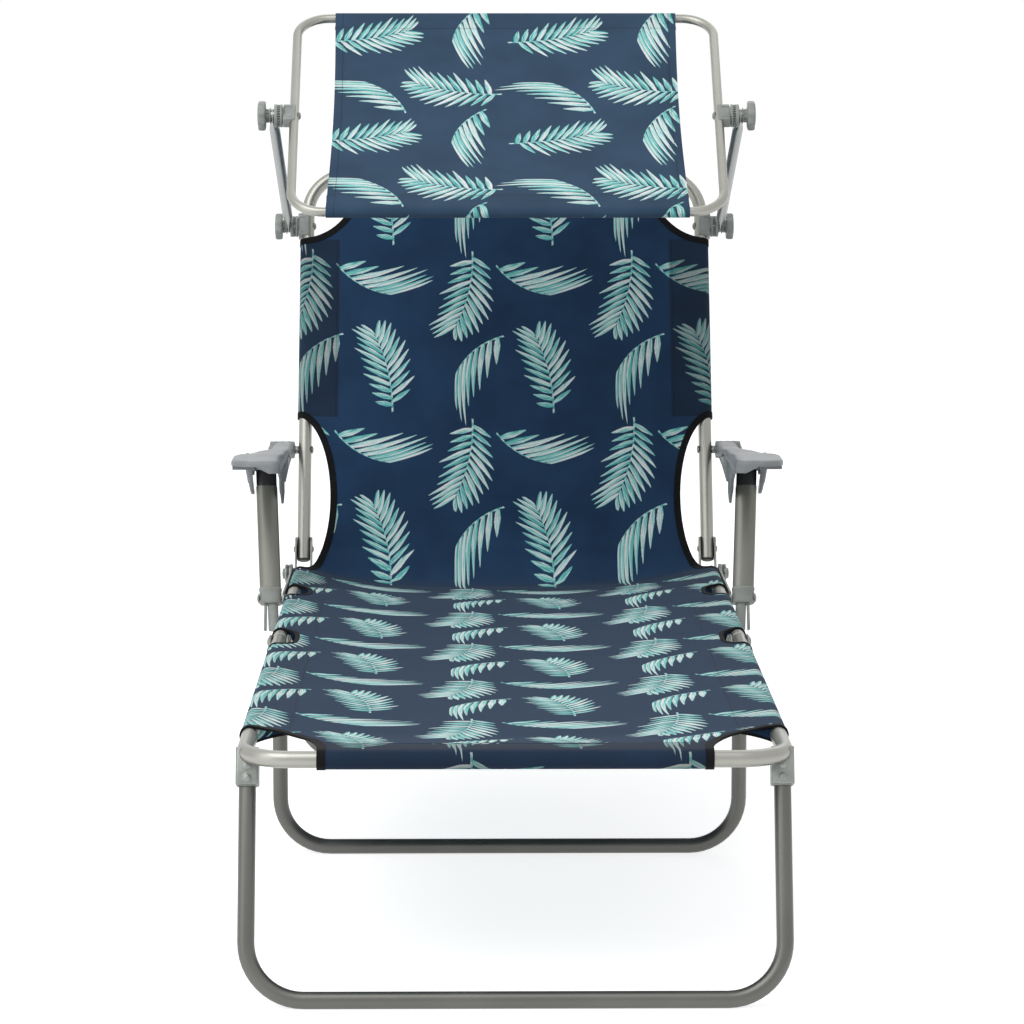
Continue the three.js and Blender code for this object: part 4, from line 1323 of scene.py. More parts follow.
@dataclass
class Sling(Cloth):
    """The one long sling, with its tunnels round the rails and its sleeves round the cross tubes."""

    sizes: Sizes = SIZES
    strip: float = 46.0
    sleeve: float = 203.5
    notch: float = 260.5
    armhole: float = 241.0
    lip: float = 11.0
    split: float = 880.0

    def __post_init__(self) -> None:
        """Draws the run, and places the cut-outs and the sags on it."""
        self.line = SlingLine(self.sizes)
        marks = self.line.marks
        self.top = marks["top"]
        back_run = marks["back"] - self.line.back_start
        self.cuts = [
            Cut(0.0, 125.0, self.sleeve, round_end, open_start=True),
            Cut(640.0, 746.0, self.notch, blunt, tape=0.6),
            Cut(1012.0, 1092.0, self.notch, blunt, tape=0.6),
            Cut(1247.0, back_run + 225.0, self.armhole, oval),
            Cut(back_run + 489.0, self.top, self.sleeve, round_start, open_end=True),
        ]
        self.sags = [(0.0, 0.0), (150.0, 15.0), (640.0, 18.0), (1000.0, 19.0), (marks["bend"], 28.0)]
        self.sags += [(marks["bend"] + 50.0, 32.0), (marks["back"] + 90.0, 16.0)]
        self.sags += [(self.top - 150.0, 12.0), (self.top, 0.0)]

    def half_at(self, run: float) -> float:
        """Gives the rails' half-distance at a run."""
        marks = self.line.marks
        return eased(run, [(marks["bend"], self.sizes.rail_side), (marks["back"], self.sizes.back_side)])

    def cut_at(self, run: float) -> Cut | None:
        """Gives the cut-out that a run is in, if any."""
        return next((cut for cut in self.cuts if cut.start < run < cut.end), None)

    def width_at(self, run: float) -> float:
        """Gives the half-width, which is full round the tunnels and short in the cut-outs.

        Args:
            run: The run.

        Returns:
            The half-width in millimetres.
        """
        half = self.half_at(run)
        if run <= 0.0 or run >= self.top:
            return self.sleeve
        cut = self.cut_at(run)
        if cut is not None:
            return cut.width(run, half + self.lip)
        return half + math.pi * self.stand + self.strip

    def rim_at(self, run: float) -> float:
        """Gives the place just inside the rail."""
        return self.half_at(run) - 12.0

    def wrinkle(self, run: float, across: float) -> float:
        """Gives the small folds of cloth under uneven pull.

        Args:
            run: The run.
            across: The place across.

        Returns:
            How far the cloth stands off its smooth shape, in millimetres.
        """
        marks = self.line.marks
        soft = noise.noise(Vector((across * 0.011, run * 0.005, 4.0))) * 1.5
        edge = noise.noise(Vector((across * 0.05, run * 0.018, 9.0))) * 1.0
        corner = max(0.0, 1.0 - abs(run - marks["bend"] - 45.0) / 100.0)
        creases = noise.noise(Vector((across * 0.006, run * 0.055, 2.0))) * 3.4 * corner
        return soft + edge * min(1.0, abs(across) / 260.0) + creases

    def sag(self, run: float, reach: float) -> float:
        """Gives how far the cloth hangs at a reach from its middle, flattest across where it bends."""
        marks = self.line.marks
        power = eased(run, [(marks["bend"] - 200.0, 2.0), (marks["bend"], 3.2), (marks["back"] + 120.0, 2.0)])
        return eased(run, self.sags) * (1.0 - (reach / self.half_at(run)) ** power)

    def spot(self, run: float, across: float) -> Vector:
        """Gives the place of a point, sagging between the rails and wrapped round them at the edge.

        Args:
            run: The run.
            across: The place across.

        Returns:
            The place in millimetres.
        """
        base, normal = self.line.at(run)
        half = self.half_at(run)
        reach = abs(across)
        side = math.copysign(1.0, across)
        if reach <= half:
            share = 1.0 - (reach / half) ** 2
            held = min(1.0, max(0.0, run / 60.0), max(0.0, (self.top - run) / 60.0))
            off = self.wrinkle(run, across) * held * min(1.0, share * 5.0) - self.sag(run, reach)
            return base + normal * off + Vector((across, 0.0, 0.0))
        turn = (reach - half) / self.stand
        if turn <= math.pi:
            out = half + self.stand * math.sin(turn)
            return base + normal * (self.stand * (math.cos(turn) - 1.0)) + Vector((side * out, 0.0, 0.0))
        back = reach - half - math.pi * self.stand
        under = -self.sag(run, half - back) - 2.6
        rise = (back / self.strip) ** 0.8 * (under + 2.0 * self.stand)
        return base + normal * (rise - 2.0 * self.stand) + Vector((side * (half - back), 0.0, 0.0))

    def sewn_at(self, run: float, across: float) -> tuple[float, float, float]:
        """Gives how the cloth is sewn at a point.

        Args:
            run: The run.
            across: The place across.

        Returns:
            How far inside the side hem and the end sleeve it lies, where a cut-out has no hem, and how much
            painted shade the hem gets, which is most on the back, where light comes through the single cloth.
        """
        open_edge = self.cut_at(run) is not None or not 0.0 < run < self.top
        hem = -99.0 if open_edge else abs(across) - (self.half_at(run) - self.strip)
        marks = self.line.marks
        # Painted hem shade: light on the seat, full on the back.
        hem_shade_share = eased(run, [(marks["bend"], 0.22), (marks["back"], 1.0)])
        return hem, self.line.hem - min(run, self.top - run), hem_shade_share

    def rows(self, start: float, end: float) -> list[float]:
        """Gives the grid's runs, close together at the edges of cut-outs.

        Args:
            start: The first run.
            end: The last run.

        Returns:
            The runs in order.
        """
        steps = {start, end}
        run = start
        while run < end:
            near_tube = run < 4.0 or run > self.top - 4.0
            run += 2.6 if near_tube else 6.5
            steps.add(min(run, end))
        for cut in self.cuts:
            for edge in (cut.start, cut.end):
                steps.update(edge + nudge for nudge in (-0.15, 0.15, 2.0, -2.0, 5.0, -5.0))
        steps.update((self.line.marks["front"], self.top))
        kept = sorted(step for step in steps if start <= step <= end)
        return [step for i, step in enumerate(kept) if i == 0 or step - kept[i - 1] > 0.1]

    def tapes(self, start: float, end: float) -> list[tuple[float, Points]]:
        """Gives the flat lines that the binding tapes follow, between two runs.

        Args:
            start: The first run.
            end: The last run.

        Returns:
            Each line's share of the full tape's width, and its points of run and place across, with the
            cloth on its right.
        """
        lines = []
        for cut in self.cuts:
            if not start <= (cut.start + cut.end) / 2.0 <= end:
                continue
            lip = self.half_at(cut.start) + self.lip
            far = lip + 20.0 + self.strip
            if cut.open_start:
                line = [(self.line.marks["hem"] * (1.0 - i / 36.0), self.sleeve) for i in range(36)]
            else:
                line = [(cut.start, far - (far - lip) * i / 18.0) for i in range(18)]
            for i in range(45):
                share = (1.0 - math.cos(math.pi * i / 44.0)) / 2.0
                run = cut.start + (cut.end - cut.start) * share
                line.append((run, cut.width(run, self.half_at(run) + self.lip)))
            lip = self.half_at(cut.end) + self.lip
            if cut.open_end:
                over = self.line.marks["end"] - self.top
                line += [(self.top + over * i / 36.0, self.sleeve) for i in range(1, 37)]
            else:
                line += [(cut.end, lip + (far - lip) * i / 18.0) for i in range(1, 19)]
            kept = [p for i, p in enumerate(line) if i == 0 or math.dist(p, line[i - 1]) > 0.4]
            lines.append((cut.tape, kept))
        return lines


@dataclass
class CanopySheet(Cloth):
    """The canopy's panel, with a sleeve round each cross tube of its frame."""

    stand: float = 7.0
    half: float = 229.5
    front: float = SIZES.canopy_front
    rear: float = SIZES.canopy_rear
    sag: float = 14.0
    hem: float = 34.0
    wrap: float = 0.86 * math.pi

    def spot(self, run: float, across: float) -> Vector:
        """Gives the place of a point.

        Args:
            run: Its run from the top of the front tube.
            across: The place across.

        Returns:
            The place in millimetres.
        """
        length = self.rear - self.front
        if 0.0 <= run <= length:
            return Vector((across, self.front + run, self.stand - self.dip(run, across)))
        past, centre, way = (-run, self.front, -1.0) if run < 0.0 else (run - length, self.rear, 1.0)
        turn = min(past / self.stand, self.wrap)
        left = max(0.0, past - turn * self.stand)
        low = self.stand * math.cos(turn)
        under = self.stand - self.dip(self.hem, across) - 1.6
        y = centre + way * (self.stand * math.sin(turn) - left)
        return Vector((across, y, low + (under - low) * min(1.0, left / (self.hem - 3.0))))

    def dip(self, run: float, across: float) -> float:
        """Gives how far the panel hangs below its tubes.

        Args:
            run: The run.
            across: The place across.

        Returns:
            The drop in millimetres.
        """
        share = min(1.0, max(0.0, run / (self.rear - self.front)))
        level = 4.0 * share * (1.0 - share)
        curl = 1.0 - 0.35 * (across / self.half) ** 2
        ripple = noise.noise(Vector((across * 0.014, run * 0.004, 7.0))) * 2.0 * level
        return self.sag * level * curl + ripple

    def width_at(self, run: float) -> float:
        """Gives the half-width, drawn in a little between the tubes."""
        share = min(1.0, max(0.0, run / (self.rear - self.front)))
        return self.half - 3.5 * math.sin(math.pi * share)

    def rim_at(self, run: float) -> float:
        """Gives the place just inside the side hem."""
        return self.half - 16.0

    def sewn_at(self, run: float, across: float) -> tuple[float, float, float]:
        """Gives how far inside the side hem and a sleeve a point lies, and full painted shade on the hem."""
        past = min(run, self.rear - self.front - run)
        return abs(across) - (self.width_at(run) - 14.0), self.hem - past, 1.0

    def rows(self) -> list[float]:
        """Gives the grid's runs, close together round the tubes.

        Returns:
            The runs in order.
        """
        length = self.rear - self.front
        ends = math.pi * self.stand * 0.86 + self.hem
        near = [-ends + i * ends / 22.0 for i in range(22)]
        middle = [length * i / 70.0 for i in range(71)]
        return near + middle + [length + (i + 1) * ends / 22.0 for i in range(22)]


@dataclass
class Seamstress:
    """Sews cloth and tape into objects, in one station's frame."""

    station: Matrix
    cloth_wall: float = 0.9
    tape_wall: float = 2.5
    tape_places: tuple[float, ...] = (-1.1, -0.4, 3.4, 7.2, 7.9)

    def finish(self, mesh: bmesh.types.BMesh, name: str, finish: Finish, wall: float) -> bpy.types.Object:
        """Turns a mesh into an object with a wall's thickness.

        Args:
            mesh: The mesh, which is freed.
            name: The object's name.
            finish: Its finish.
            wall: The cloth's thickness in millimetres.

        Returns:
            The object, with its Solidify modifier applied.
        """
        data = bpy.data.meshes.new(name)
        mesh.to_mesh(data)
        mesh.free()
        made = shown(name, data)
        data.materials.append(finish.material())
        thick = made.modifiers.new("wall", "SOLIDIFY")
        thick.thickness = wall * MILLIMETRE
        thick.offset = 0.0
        thick.use_even_offset = False
        bpy.context.view_layer.update()
        solid = made.evaluated_get(bpy.context.evaluated_depsgraph_get())
        made.data = bpy.data.meshes.new_from_object(solid)
        made.modifiers.clear()
        bpy.data.meshes.remove(data)
        made.data.name = name
        made.data.shade_smooth()
        made.data.set_sharp_from_angle(angle=math.radians(60.0))
        return made

    def cloth(self, name: str, cloth: Cloth, rows: Sequence[float], finish: Finish) -> bpy.types.Object:
        """Sews a cloth from its rows.

        Args:
            name: The piece's name.
            cloth: The cloth's shape.
            rows: The runs of its rows.
            finish: Its finish.

        Returns:
            The new object.
        """
        half = cloth.flat_columns + cloth.edge_columns
        mesh, cells = grid(2 * half, len(rows))
        layers = [mesh.verts.layers.float.new(layer) for layer in SEWN]
        flat = mesh.loops.layers.uv.new("cloth")
        for vert, column, row in cells:
            run = rows[row]
            across = cloth.across_at(run, column - half)
            for layer, value in zip(layers, cloth.sewn_at(run, across)):
                vert[layer] = value
            for loop in vert.link_loops:
                loop[flat].uv = (across * MILLIMETRE, run * MILLIMETRE)
            vert.co = self.station @ cloth.spot(run, across)
        return self.finish(mesh, name, finish, self.cloth_wall)

    def tape(
        self, name: str, cloth: Cloth, lines: Sequence[tuple[float, Outline]], finish: Finish
    ) -> bpy.types.Object:
        """Sews binding tape along flat lines on a cloth, on both sides of the lounger.

        Args:
            name: The piece's name.
            cloth: The cloth that the tape binds.
            lines: Each line's share of the full width, and its points with the cloth on their right.
            finish: The tape's finish.

        Returns:
            The new object.
        """
        whole = bmesh.new()
        for share, line in lines:
            for side in (-1.0, 1.0):
                strip, cells = grid(len(self.tape_places) - 1, len(line))
                for vert, column, row in cells:
                    before, after = line[max(0, row - 1)], line[min(len(line) - 1, row + 1)]
                    way = Vector((after[0] - before[0], after[1] - before[1])).normalized()
                    inward = Vector((way.y, -way.x)) * self.tape_places[column] * share
                    run, across = line[row][0] + inward.x, line[row][1] + inward.y
                    vert.co = self.station @ cloth.spot(run, side * max(0.0, across))
                pour(strip, whole)
        bmesh.ops.recalc_face_normals(whole, faces=whole.faces[:])
        return self.finish(whole, name, finish, self.tape_wall)


@dataclass
class Slings:
    """The sling's two pieces and the canopy's panel, with their binding tape."""

    workshop: Workshop
    sizes: Sizes = SIZES
    hinge_reach: float = 0.055

    def build(self) -> None:
        """Sews all the cloth and its binding tape, and hides the CAD cloth that it stands for."""
        frames = self.workshop.frames
        sling = Sling(sizes=self.sizes)
        marks = sling.line.marks
        row = Matrix.Scale(MILLIMETRE, 4) @ moved(y=frames.shift)
        sewing = Seamstress(row)
        hinge = frames.at(Station.FOOT_HINGE, 0.0, 0.0, 10.0)
        reach = Vector((0.0, self.hinge_reach, 0.0))
        foot_bend = (hinge - reach, hinge + reach)
        back_bend = [row @ sling.line.at(run)[0] for run in (marks["bend"] + 6.0, marks["back"])]
        stretches = [
            ("foot_sling", ["foot_cloth"], "foot_section", "mid_section", foot_bend),
            ("back_sling", ["seat_cloth", "back_cloth"], "mid_section", "back", back_bend),
        ]
        spans = ((marks["hem"], sling.split), (sling.split, marks["end"]))
        for (name, nodes, body, other, (low, high)), (start, end) in zip(stretches, spans):
            rows = sling.rows(start, end)
            piece = sewing.cloth(name, sling, rows, CLOTH)
            tape = sewing.tape(f"{name}_binding", sling, sling.tapes(start, end), TAPE)
            for made in (piece, tape):
                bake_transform(made)
                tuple(low)
                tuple(high)
            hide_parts(*nodes)
            width = 2.0 * max(sling.width_at(run) for run in rows) * MILLIMETRE
            length = (rows[-1] - rows[0]) * MILLIMETRE
            area = min(sling.flat_area(rows), width * length)
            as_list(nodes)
            LOG.info("%s bends between %s and %s", name, body, other)
        self.canopy()

    def canopy(self) -> None:
        """Sews the canopy's panel onto its frame."""
        sheet = CanopySheet()
        rows = sheet.rows()
        sewing = Seamstress(self.workshop.frames.matrices[Station.CANOPY])
        piece = sewing.cloth("canopy_panel", sheet, rows, CANOPY_CLOTH)
        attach(piece, "canopy")
        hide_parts("canopy_cloth")
        area = sheet.flat_area(rows)
        LOG.info("canopy_panel rides on canopy")


@dataclass
class Tubework:
    """Every bent tube of the lounger, round where the CAD has flats."""

    workshop: Workshop
    sizes: Sizes = SIZES
    frame_bend: float = 50.0
    leg_bend: float = 60.0
    leg_top: float = -15.3
    back_bend: float = 60.0
    back_start: float = 20.0
    canopy_bend: float = 42.0
    canopy_tube: float = 6.0
    canopy_front_side: float = 274.1
    canopy_rear_side: float = 280.1

    def build(self) -> None:
        """Bends the frame, the legs, the back and the canopy's frame."""
        sizes, piece = self.sizes, self.workshop.piece
        foot = self.hoop(sizes.rail_side, (sizes.foot_length + 7.0, 0.0), (0.0, 0.0), self.frame_bend)
        piece("foot_frame_tube", foot, Station.SEAT, "foot_section", FRAME_STEEL, ["foot_frame"])
        self.seat_rails()
        self.legs()
        back = self.hoop(sizes.back_side, (self.back_start, 0.0), (sizes.back_length, 0.0), self.back_bend)
        piece("back_frame_tube", back, Station.BACK, "back", FRAME_STEEL, ["back_frame"])
        self.canopy_frame()

    def hoop(
        self, side: float, ends: tuple[float, float], closed: tuple[float, float], bend: float
    ) -> Shaper:
        """Bends a tube round three sides.

        Args:
            side: How far each side lies from the middle.
            ends: Y and Z of both open ends.
            closed: Y and Z of the cross stretch.
            bend: The bends' radius.

        Returns:
            The shape.
        """
        corners = [(-side, *ends), (-side, *closed), (side, *closed), (side, *ends)]
        return Shaper().bar(corners, bend, self.sizes.tube)

    def seat_rails(self) -> None:
        """Cuts the two seat rails."""
        side, start, end = self.sizes.rail_side, self.sizes.foot_length + 12.2, self.sizes.seat_end - 14.0
        shape = Shaper().bar([(side, start, 0.0), (side, end, 0.0)], 0.0, self.sizes.tube)
        self.workshop.pair("seat_rail", shape, Station.SEAT, "mid_section", FRAME_STEEL)

    def legs(self) -> None:
        """Bends the three legs."""
        for name, station, body in LEGS:
            lean = self.sizes.front_leg_lean if station is Station.FRONT_LEG else 0.0
            drop = self.sizes.rail_height / math.cos(math.radians(lean)) - self.sizes.tube * 1.02
            shape = self.hoop(self.sizes.leg_side, (0.0, self.leg_top), (0.0, -drop), self.leg_bend)
            self.workshop.piece(f"{name}_leg_tube", shape, station, body, LEG_STEEL, [f"{name}_leg"])

    def canopy_frame(self) -> None:
        """Bends the canopy's closed frame, wider at the rear."""
        front, rear = self.canopy_front_side, self.canopy_rear_side
        low, high = self.sizes.canopy_front, self.sizes.canopy_rear
        plan = ((0, high), (rear, high), (front, low), (-front, low), (-rear, high), (0, high))
        shape = Shaper().bar([(x, y, 0.0) for x, y in plan], self.canopy_bend, self.canopy_tube, sides=24)
        nodes = ["canopy_frame"]
        self.workshop.piece("canopy_frame_tube", shape, Station.CANOPY, "canopy", FRAME_STEEL, nodes)


@dataclass
class Fittings:
    """Shared ways to draw rivets, pins, straps and teeth on a fitting."""

    workshop: Workshop
    sizes: Sizes = SIZES
    wall: float = 2.5
    clearance: float = 0.3
    rivet: float = 4.5
    pin_radius: float = 3.0
    pin_head: float = 5.5
    teeth_inner: float = 6.5
    teeth_outer: float = 12.4
    tooth_count: int = 24

    def pin(self, start: float, end: float, rise: float) -> Shaper:
        """Draws a pin along X with a domed head at each end."""
        made = Shaper().drum(self.pin_radius, start, end, soften=0.2)
        return made.dome(self.pin_head, rise, end).dome(self.pin_head, -rise, start)

    @staticmethod
    def strap(start: float, end: float, first: float, last: float) -> Points:
        """Gives the outline of a strap with a round end about each of two places along Y."""
        return arc(start, 0.0, first, 90.0, 270.0, 14) + arc(end, 0.0, last, -90.0, 90.0, 14)

    def teeth(self, start: float, end: float) -> Shaper:
        """Draws a ring of radial teeth on a face across X.

        Args:
            start: The face's place.
            end: The place of the teeth's tips.

        Returns:
            The shape.
        """
        made = Shaper()
        inner, outer = self.teeth_inner, self.teeth_outer
        half = math.pi / self.tooth_count * 0.52
        for i in range(self.tooth_count):
            turn = math.tau * i / self.tooth_count
            corners = ((inner, -half), (outer, -half), (outer, half), (inner, half))
            outline = [(r * math.cos(turn + a), r * math.sin(turn + a)) for r, a in corners]
            made.plate(outline, start, end, 0.25, segments=1)
        return made

    def folded(
        self, outline: Outline, side: float, rivet: float, rise: float
    ) -> Shaper:
        """Draws the two cheeks of a folded channel round a tube, with a rivet through both.

        Args:
            outline: A cheek's outline.
            side: The tube's place across.
            rivet: The rivet's place along the tube.
            rise: The height of its heads.

        Returns:
            The shape.
        """
        inner = self.sizes.tube + self.clearance
        outer = inner + self.wall
        made = Shaper().plate(outline, side + inner, side + outer, 0.6)
        made.plate(outline, side - outer, side - inner, 0.6)
        return made.dome(self.rivet, rise, side + outer, rivet).dome(self.rivet, -rise, side - outer, rivet)


@dataclass
class LegBrackets(Fittings):
    """The moulded sockets that hold the legs under the rails, each with two rivets."""

    half: float = 12.0
    inset: float = 3.4
    low: float = -36.0
    high: float = 3.4
    rivet_drops: tuple[float, ...] = (16.0, 29.0)

    def build(self) -> None:
        """Makes a pair for each leg."""
        shape = self.socket()
        for name, station, body in LEGS:
            self.workshop.pair(f"{name}_leg_bracket", shape, station, body, ZINC)

    def socket(self) -> Shaper:
        """Draws one socket, open below, with a rolled lip.

        Returns:
            The shape.
        """
        side, flat = self.sizes.leg_side, self.half - self.inset
        outline = []
        for cx, cy, start in ((1, -1, -90), (1, 1, 0), (-1, 1, 90), (-1, -1, 180)):
            outline += arc(side + cx * flat, cy * flat, self.inset, start, start + 90.0, 5)
        made = Shaper().plate(outline, self.low, self.high, 0.9, flat=True)
        rim = Shaper().lathe([(0.0, 9.2), (0.0, 10.9), (1.3, 10.9), (1.3, 9.2), (0.0, 9.2)], soften=0.3)
        made.place(rim, moved(side, 0.0, self.low - 1.0) @ rotated(-90.0, "Y"))
        head = Shaper().dome(self.rivet, 2.5, 0.0)
        washer = Shaper().drum(5.6, 0.0, 0.5, soften=0.2)
        for drop in self.rivet_drops:
            faced = moved(side, -self.half, -drop) @ rotated(-90.0, "Z")
            made.place(head, faced).place(washer, faced)
        return made


class FootHinges(Fittings):
    """The channels on the seat rails that the foot section folds in, with their pins."""

    def build(self) -> None:
        """Makes both channels and both pins."""
        side, inner = self.sizes.rail_side, self.sizes.tube + self.clearance
        outer = inner + self.wall
        crest = [(6.0, 7.0), (-6.0, 7.0)]
        sweep = [(36.0 - 26.0 * i / 8.0, 7.0 * math.sin(math.pi / 2.0 * i / 8.0)) for i in range(1, 8)]
        fall = [(-6.0 - 18.0 * i / 8.0, 7.0 - 13.5 * (i / 8.0) ** 2) for i in range(1, 8)]
        outline = [(-24.0, -outer), (36.0, -outer), (36.0, 0.0)] + sweep + crest + fall
        shape = self.folded(outline, side, 24.1, 2.5)
        for low, high in ((-24.0, -14.0), (12.2, 36.0)):
            shape.block((side - outer, low, -outer), (side + outer, high, -inner), 0.5)
        self.workshop.pair("foot_hinge_channel", shape, Station.FOOT_HINGE, "mid_section", ZINC)
        half = outer + self.clearance
        pin = self.pin(side - half, side + half, 2.6).drum(6.4, side + outer, side + outer + 0.7, soften=0.2)
        self.workshop.pair("foot_hinge_pin", pin, Station.FOOT_HINGE, "mid_section", ZINC)


@dataclass
class ReclineJoints(Fittings):
    """The toothed discs, arms, brackets and bolts that the back turns on."""

    disc: float = 13.0
    arm_inside: float = 292.6
    arm_outside: float = 295.6

    def build(self) -> None:
        """Makes both sides of the recline joint."""
        self.arms()
        self.brackets()
        self.discs()
        self.bolts()

    def arms(self) -> None:
        """Makes the straps on the seat, each with a toothed disc at its end."""
        outline = self.strap(self.sizes.strut_place, self.sizes.seat_end, 8.5, 6.5)
        shape = Shaper().plate(outline, self.arm_inside, self.arm_outside, 0.7)
        centre = moved(y=self.sizes.seat_end)
        shape.place(Shaper().drum(self.disc, self.arm_inside, 297.3, soften=0.6, sides=48), centre)
        shape.place(self.teeth(297.0, 298.6), centre)
        shape.block((295.2, 1085.0, -1.6), (296.3, 1230.0, 1.6), 0.5)
        self.workshop.pair("recline_arm", shape.at(0.0, -3.0), Station.SEAT, "mid_section", ZINC)

    def brackets(self) -> None:
        """Makes the folded brackets round the back frame's ends."""
        side, inner = self.sizes.back_side, self.sizes.tube + self.clearance
        outer = inner + self.wall
        shape = self.folded(self.strap(0.0, 42.0, outer, outer * 0.86), side, 35.0, 2.4)
        shape.block((side - outer, 26.0, -outer), (side + outer, 46.0, -inner), 0.6)
        self.workshop.pair("back_end_bracket", shape, Station.BACK, "back", ZINC)

    def discs(self) -> None:
        """Makes the toothed discs that turn with the back."""
        shape = Shaper().drum(self.disc, 300.2, 302.9, soften=0.7, sides=48)
        shape.place(self.teeth(298.9, 300.6), rotated(180.0 / self.tooth_count, "X"))
        shape.drum(9.6, 302.7, 303.3, soften=0.3)
        self.workshop.pair("recline_disc", shape, Station.BACK, "back", ZINC)

    def bolts(self) -> None:
        """Makes the bolts, each with a domed head, a washer and a nut."""
        shape = Shaper().drum(4.0, 266.0, 304.5, soften=0.3)
        shape.dome(8.0, -3.9, 266.4)
        shape.drum(8.0, 290.1, 292.4, soften=0.3)
        shape.drum(8.2, 303.1, 304.0, soften=0.3)
        shape.place(Shaper().drum(7.4, 303.9, 306.6, soften=0.5, sides=6), rotated(17.0, "X"))
        shape.dome(4.4, 1.2, 306.0)
        self.workshop.pair("back_pivot_bolt", shape, Station.BACK, "back", ZINC)


@dataclass
class StrutSet(Fittings):
    """The flattened tubes that carry the armrests, with their collars, caps and pins."""

    foot_place: float = 311.0
    spread: float = 9.0
    sides: int = 44
    squareness: float = 2.5

    def build(self) -> None:
        """Makes both struts and what is on them."""
        self.struts()
        self.feet()
        self.caps()
        self.pins()

    def lean(self, along: float) -> float:
        """Gives the strut's place across at a place along it."""
        return self.foot_place + self.spread * along / self.sizes.strut_length

    def sleeve(self, stops: Sequence[tuple[float, float, float]]) -> Shaper:
        """Draws a flattened tube through stops, each a place along the strut and two half-widths."""
        rings = [(place, self.lean(place), 0.0, wide, deep) for place, wide, deep in stops]
        return Shaper().loft(rings, self.squareness, self.sides)

    def struts(self) -> None:
        """Draws the tube, flatter on its faces than an oval."""
        shape = self.sleeve([(place, 14.1, 8.7) for place in (6.3, 60.0, 115.0, 153.7)])
        self.workshop.pair("strut", shape, Station.STRUT, "strut_{side}", STRUT_STEEL)

    def feet(self) -> None:
        """Draws the collar, with a bead at each rim, and the split tail below it."""
        stops = [(-8.0, 0.9), (-7.0, 1.6), (-4.6, 1.6), (-4.0, 1.0)]
        stops += [(9.4, 1.0), (10.2, 1.6), (13.2, 1.6), (14.0, 0.9)]
        shape = self.sleeve([(place, 13.5 + wall, 8.5 + wall) for place, wall in stops])
        tail = [(place, self.lean(place) - 2.6, 0.0, 6.9, 5.9) for place in (-43.6, -25.0, -7.7)]
        shape.loft(tail, 2.6, 36)
        outside = self.lean(-25.0)
        shape.block((outside + 6.0, -43.6, -4.6), (outside + 9.6, -7.7, 4.6), 0.8)
        self.workshop.pair("strut_foot", shape, Station.STRUT, "strut_{side}", KNOB_PLASTIC)

    def caps(self) -> None:
        """Draws the cap at the strut's top, slotted like a fork."""
        shape = self.sleeve([(place, 13.5, 8.5) for place in (154.0, 172.0, 184.0)])
        middle = self.lean(186.0)
        for low, high in ((-7.6, -2.1), (2.1, 7.6)):
            shape.block((middle - 11.2, 183.6, low), (middle + 11.2, 188.8, high), 1.4)
        self.workshop.pair("strut_cap", shape, Station.STRUT, "strut_{side}", CAP_PLASTIC)

    def pins(self) -> None:
        """Makes the pivot pins at the foot and the head of each strut."""
        foot = self.pin(271.7, 326.4, 2.6)
        foot.drum(5.5, 290.0, 292.3, soften=0.3)
        foot.drum(6.6, 326.2, 327.0, soften=0.2)
        low = foot.at(self.sizes.strut_place, -3.0)
        self.workshop.pair("strut_pivot_pin", low, Station.SEAT, "mid_section", ZINC)
        head = self.pin(298.2, 339.8, 2.3).at(self.sizes.strut_length)
        self.workshop.pair("strut_head_pin", head, Station.STRUT, "strut_{side}", ZINC)


PAD_EDGE = ((0.0, 1.0), (0.0, 0.82), (0.0, 0.6), (0.3, 0.36), (1.3, 0.17), (2.9, 0.06), (5.2, 0.0))
PAD_ROWS = (
    8.0, 12.0, 17.0, 24.0, 40.0, 60.0, 80.0, 100.0, 130.0, 160.0, 190.0, 210.0, 230.0, 245.0, 260.0, 275.0,
    290.0, 305.0, 320.0, 335.0, 350.0, 365.0, 382.0,
)
CHEEK_EDGE = (
    (-20.0, 20.0), (-20.5, 12.0), (-19.0, -6.0), (-16.5, -17.0), (-12.5, -26.0), (-7.0, -32.0), (0.0, -34.0),
    (7.0, -32.0), (12.5, -26.0), (16.5, -17.0), (19.0, -6.0), (22.0, 12.0), (25.0, 19.0),
)


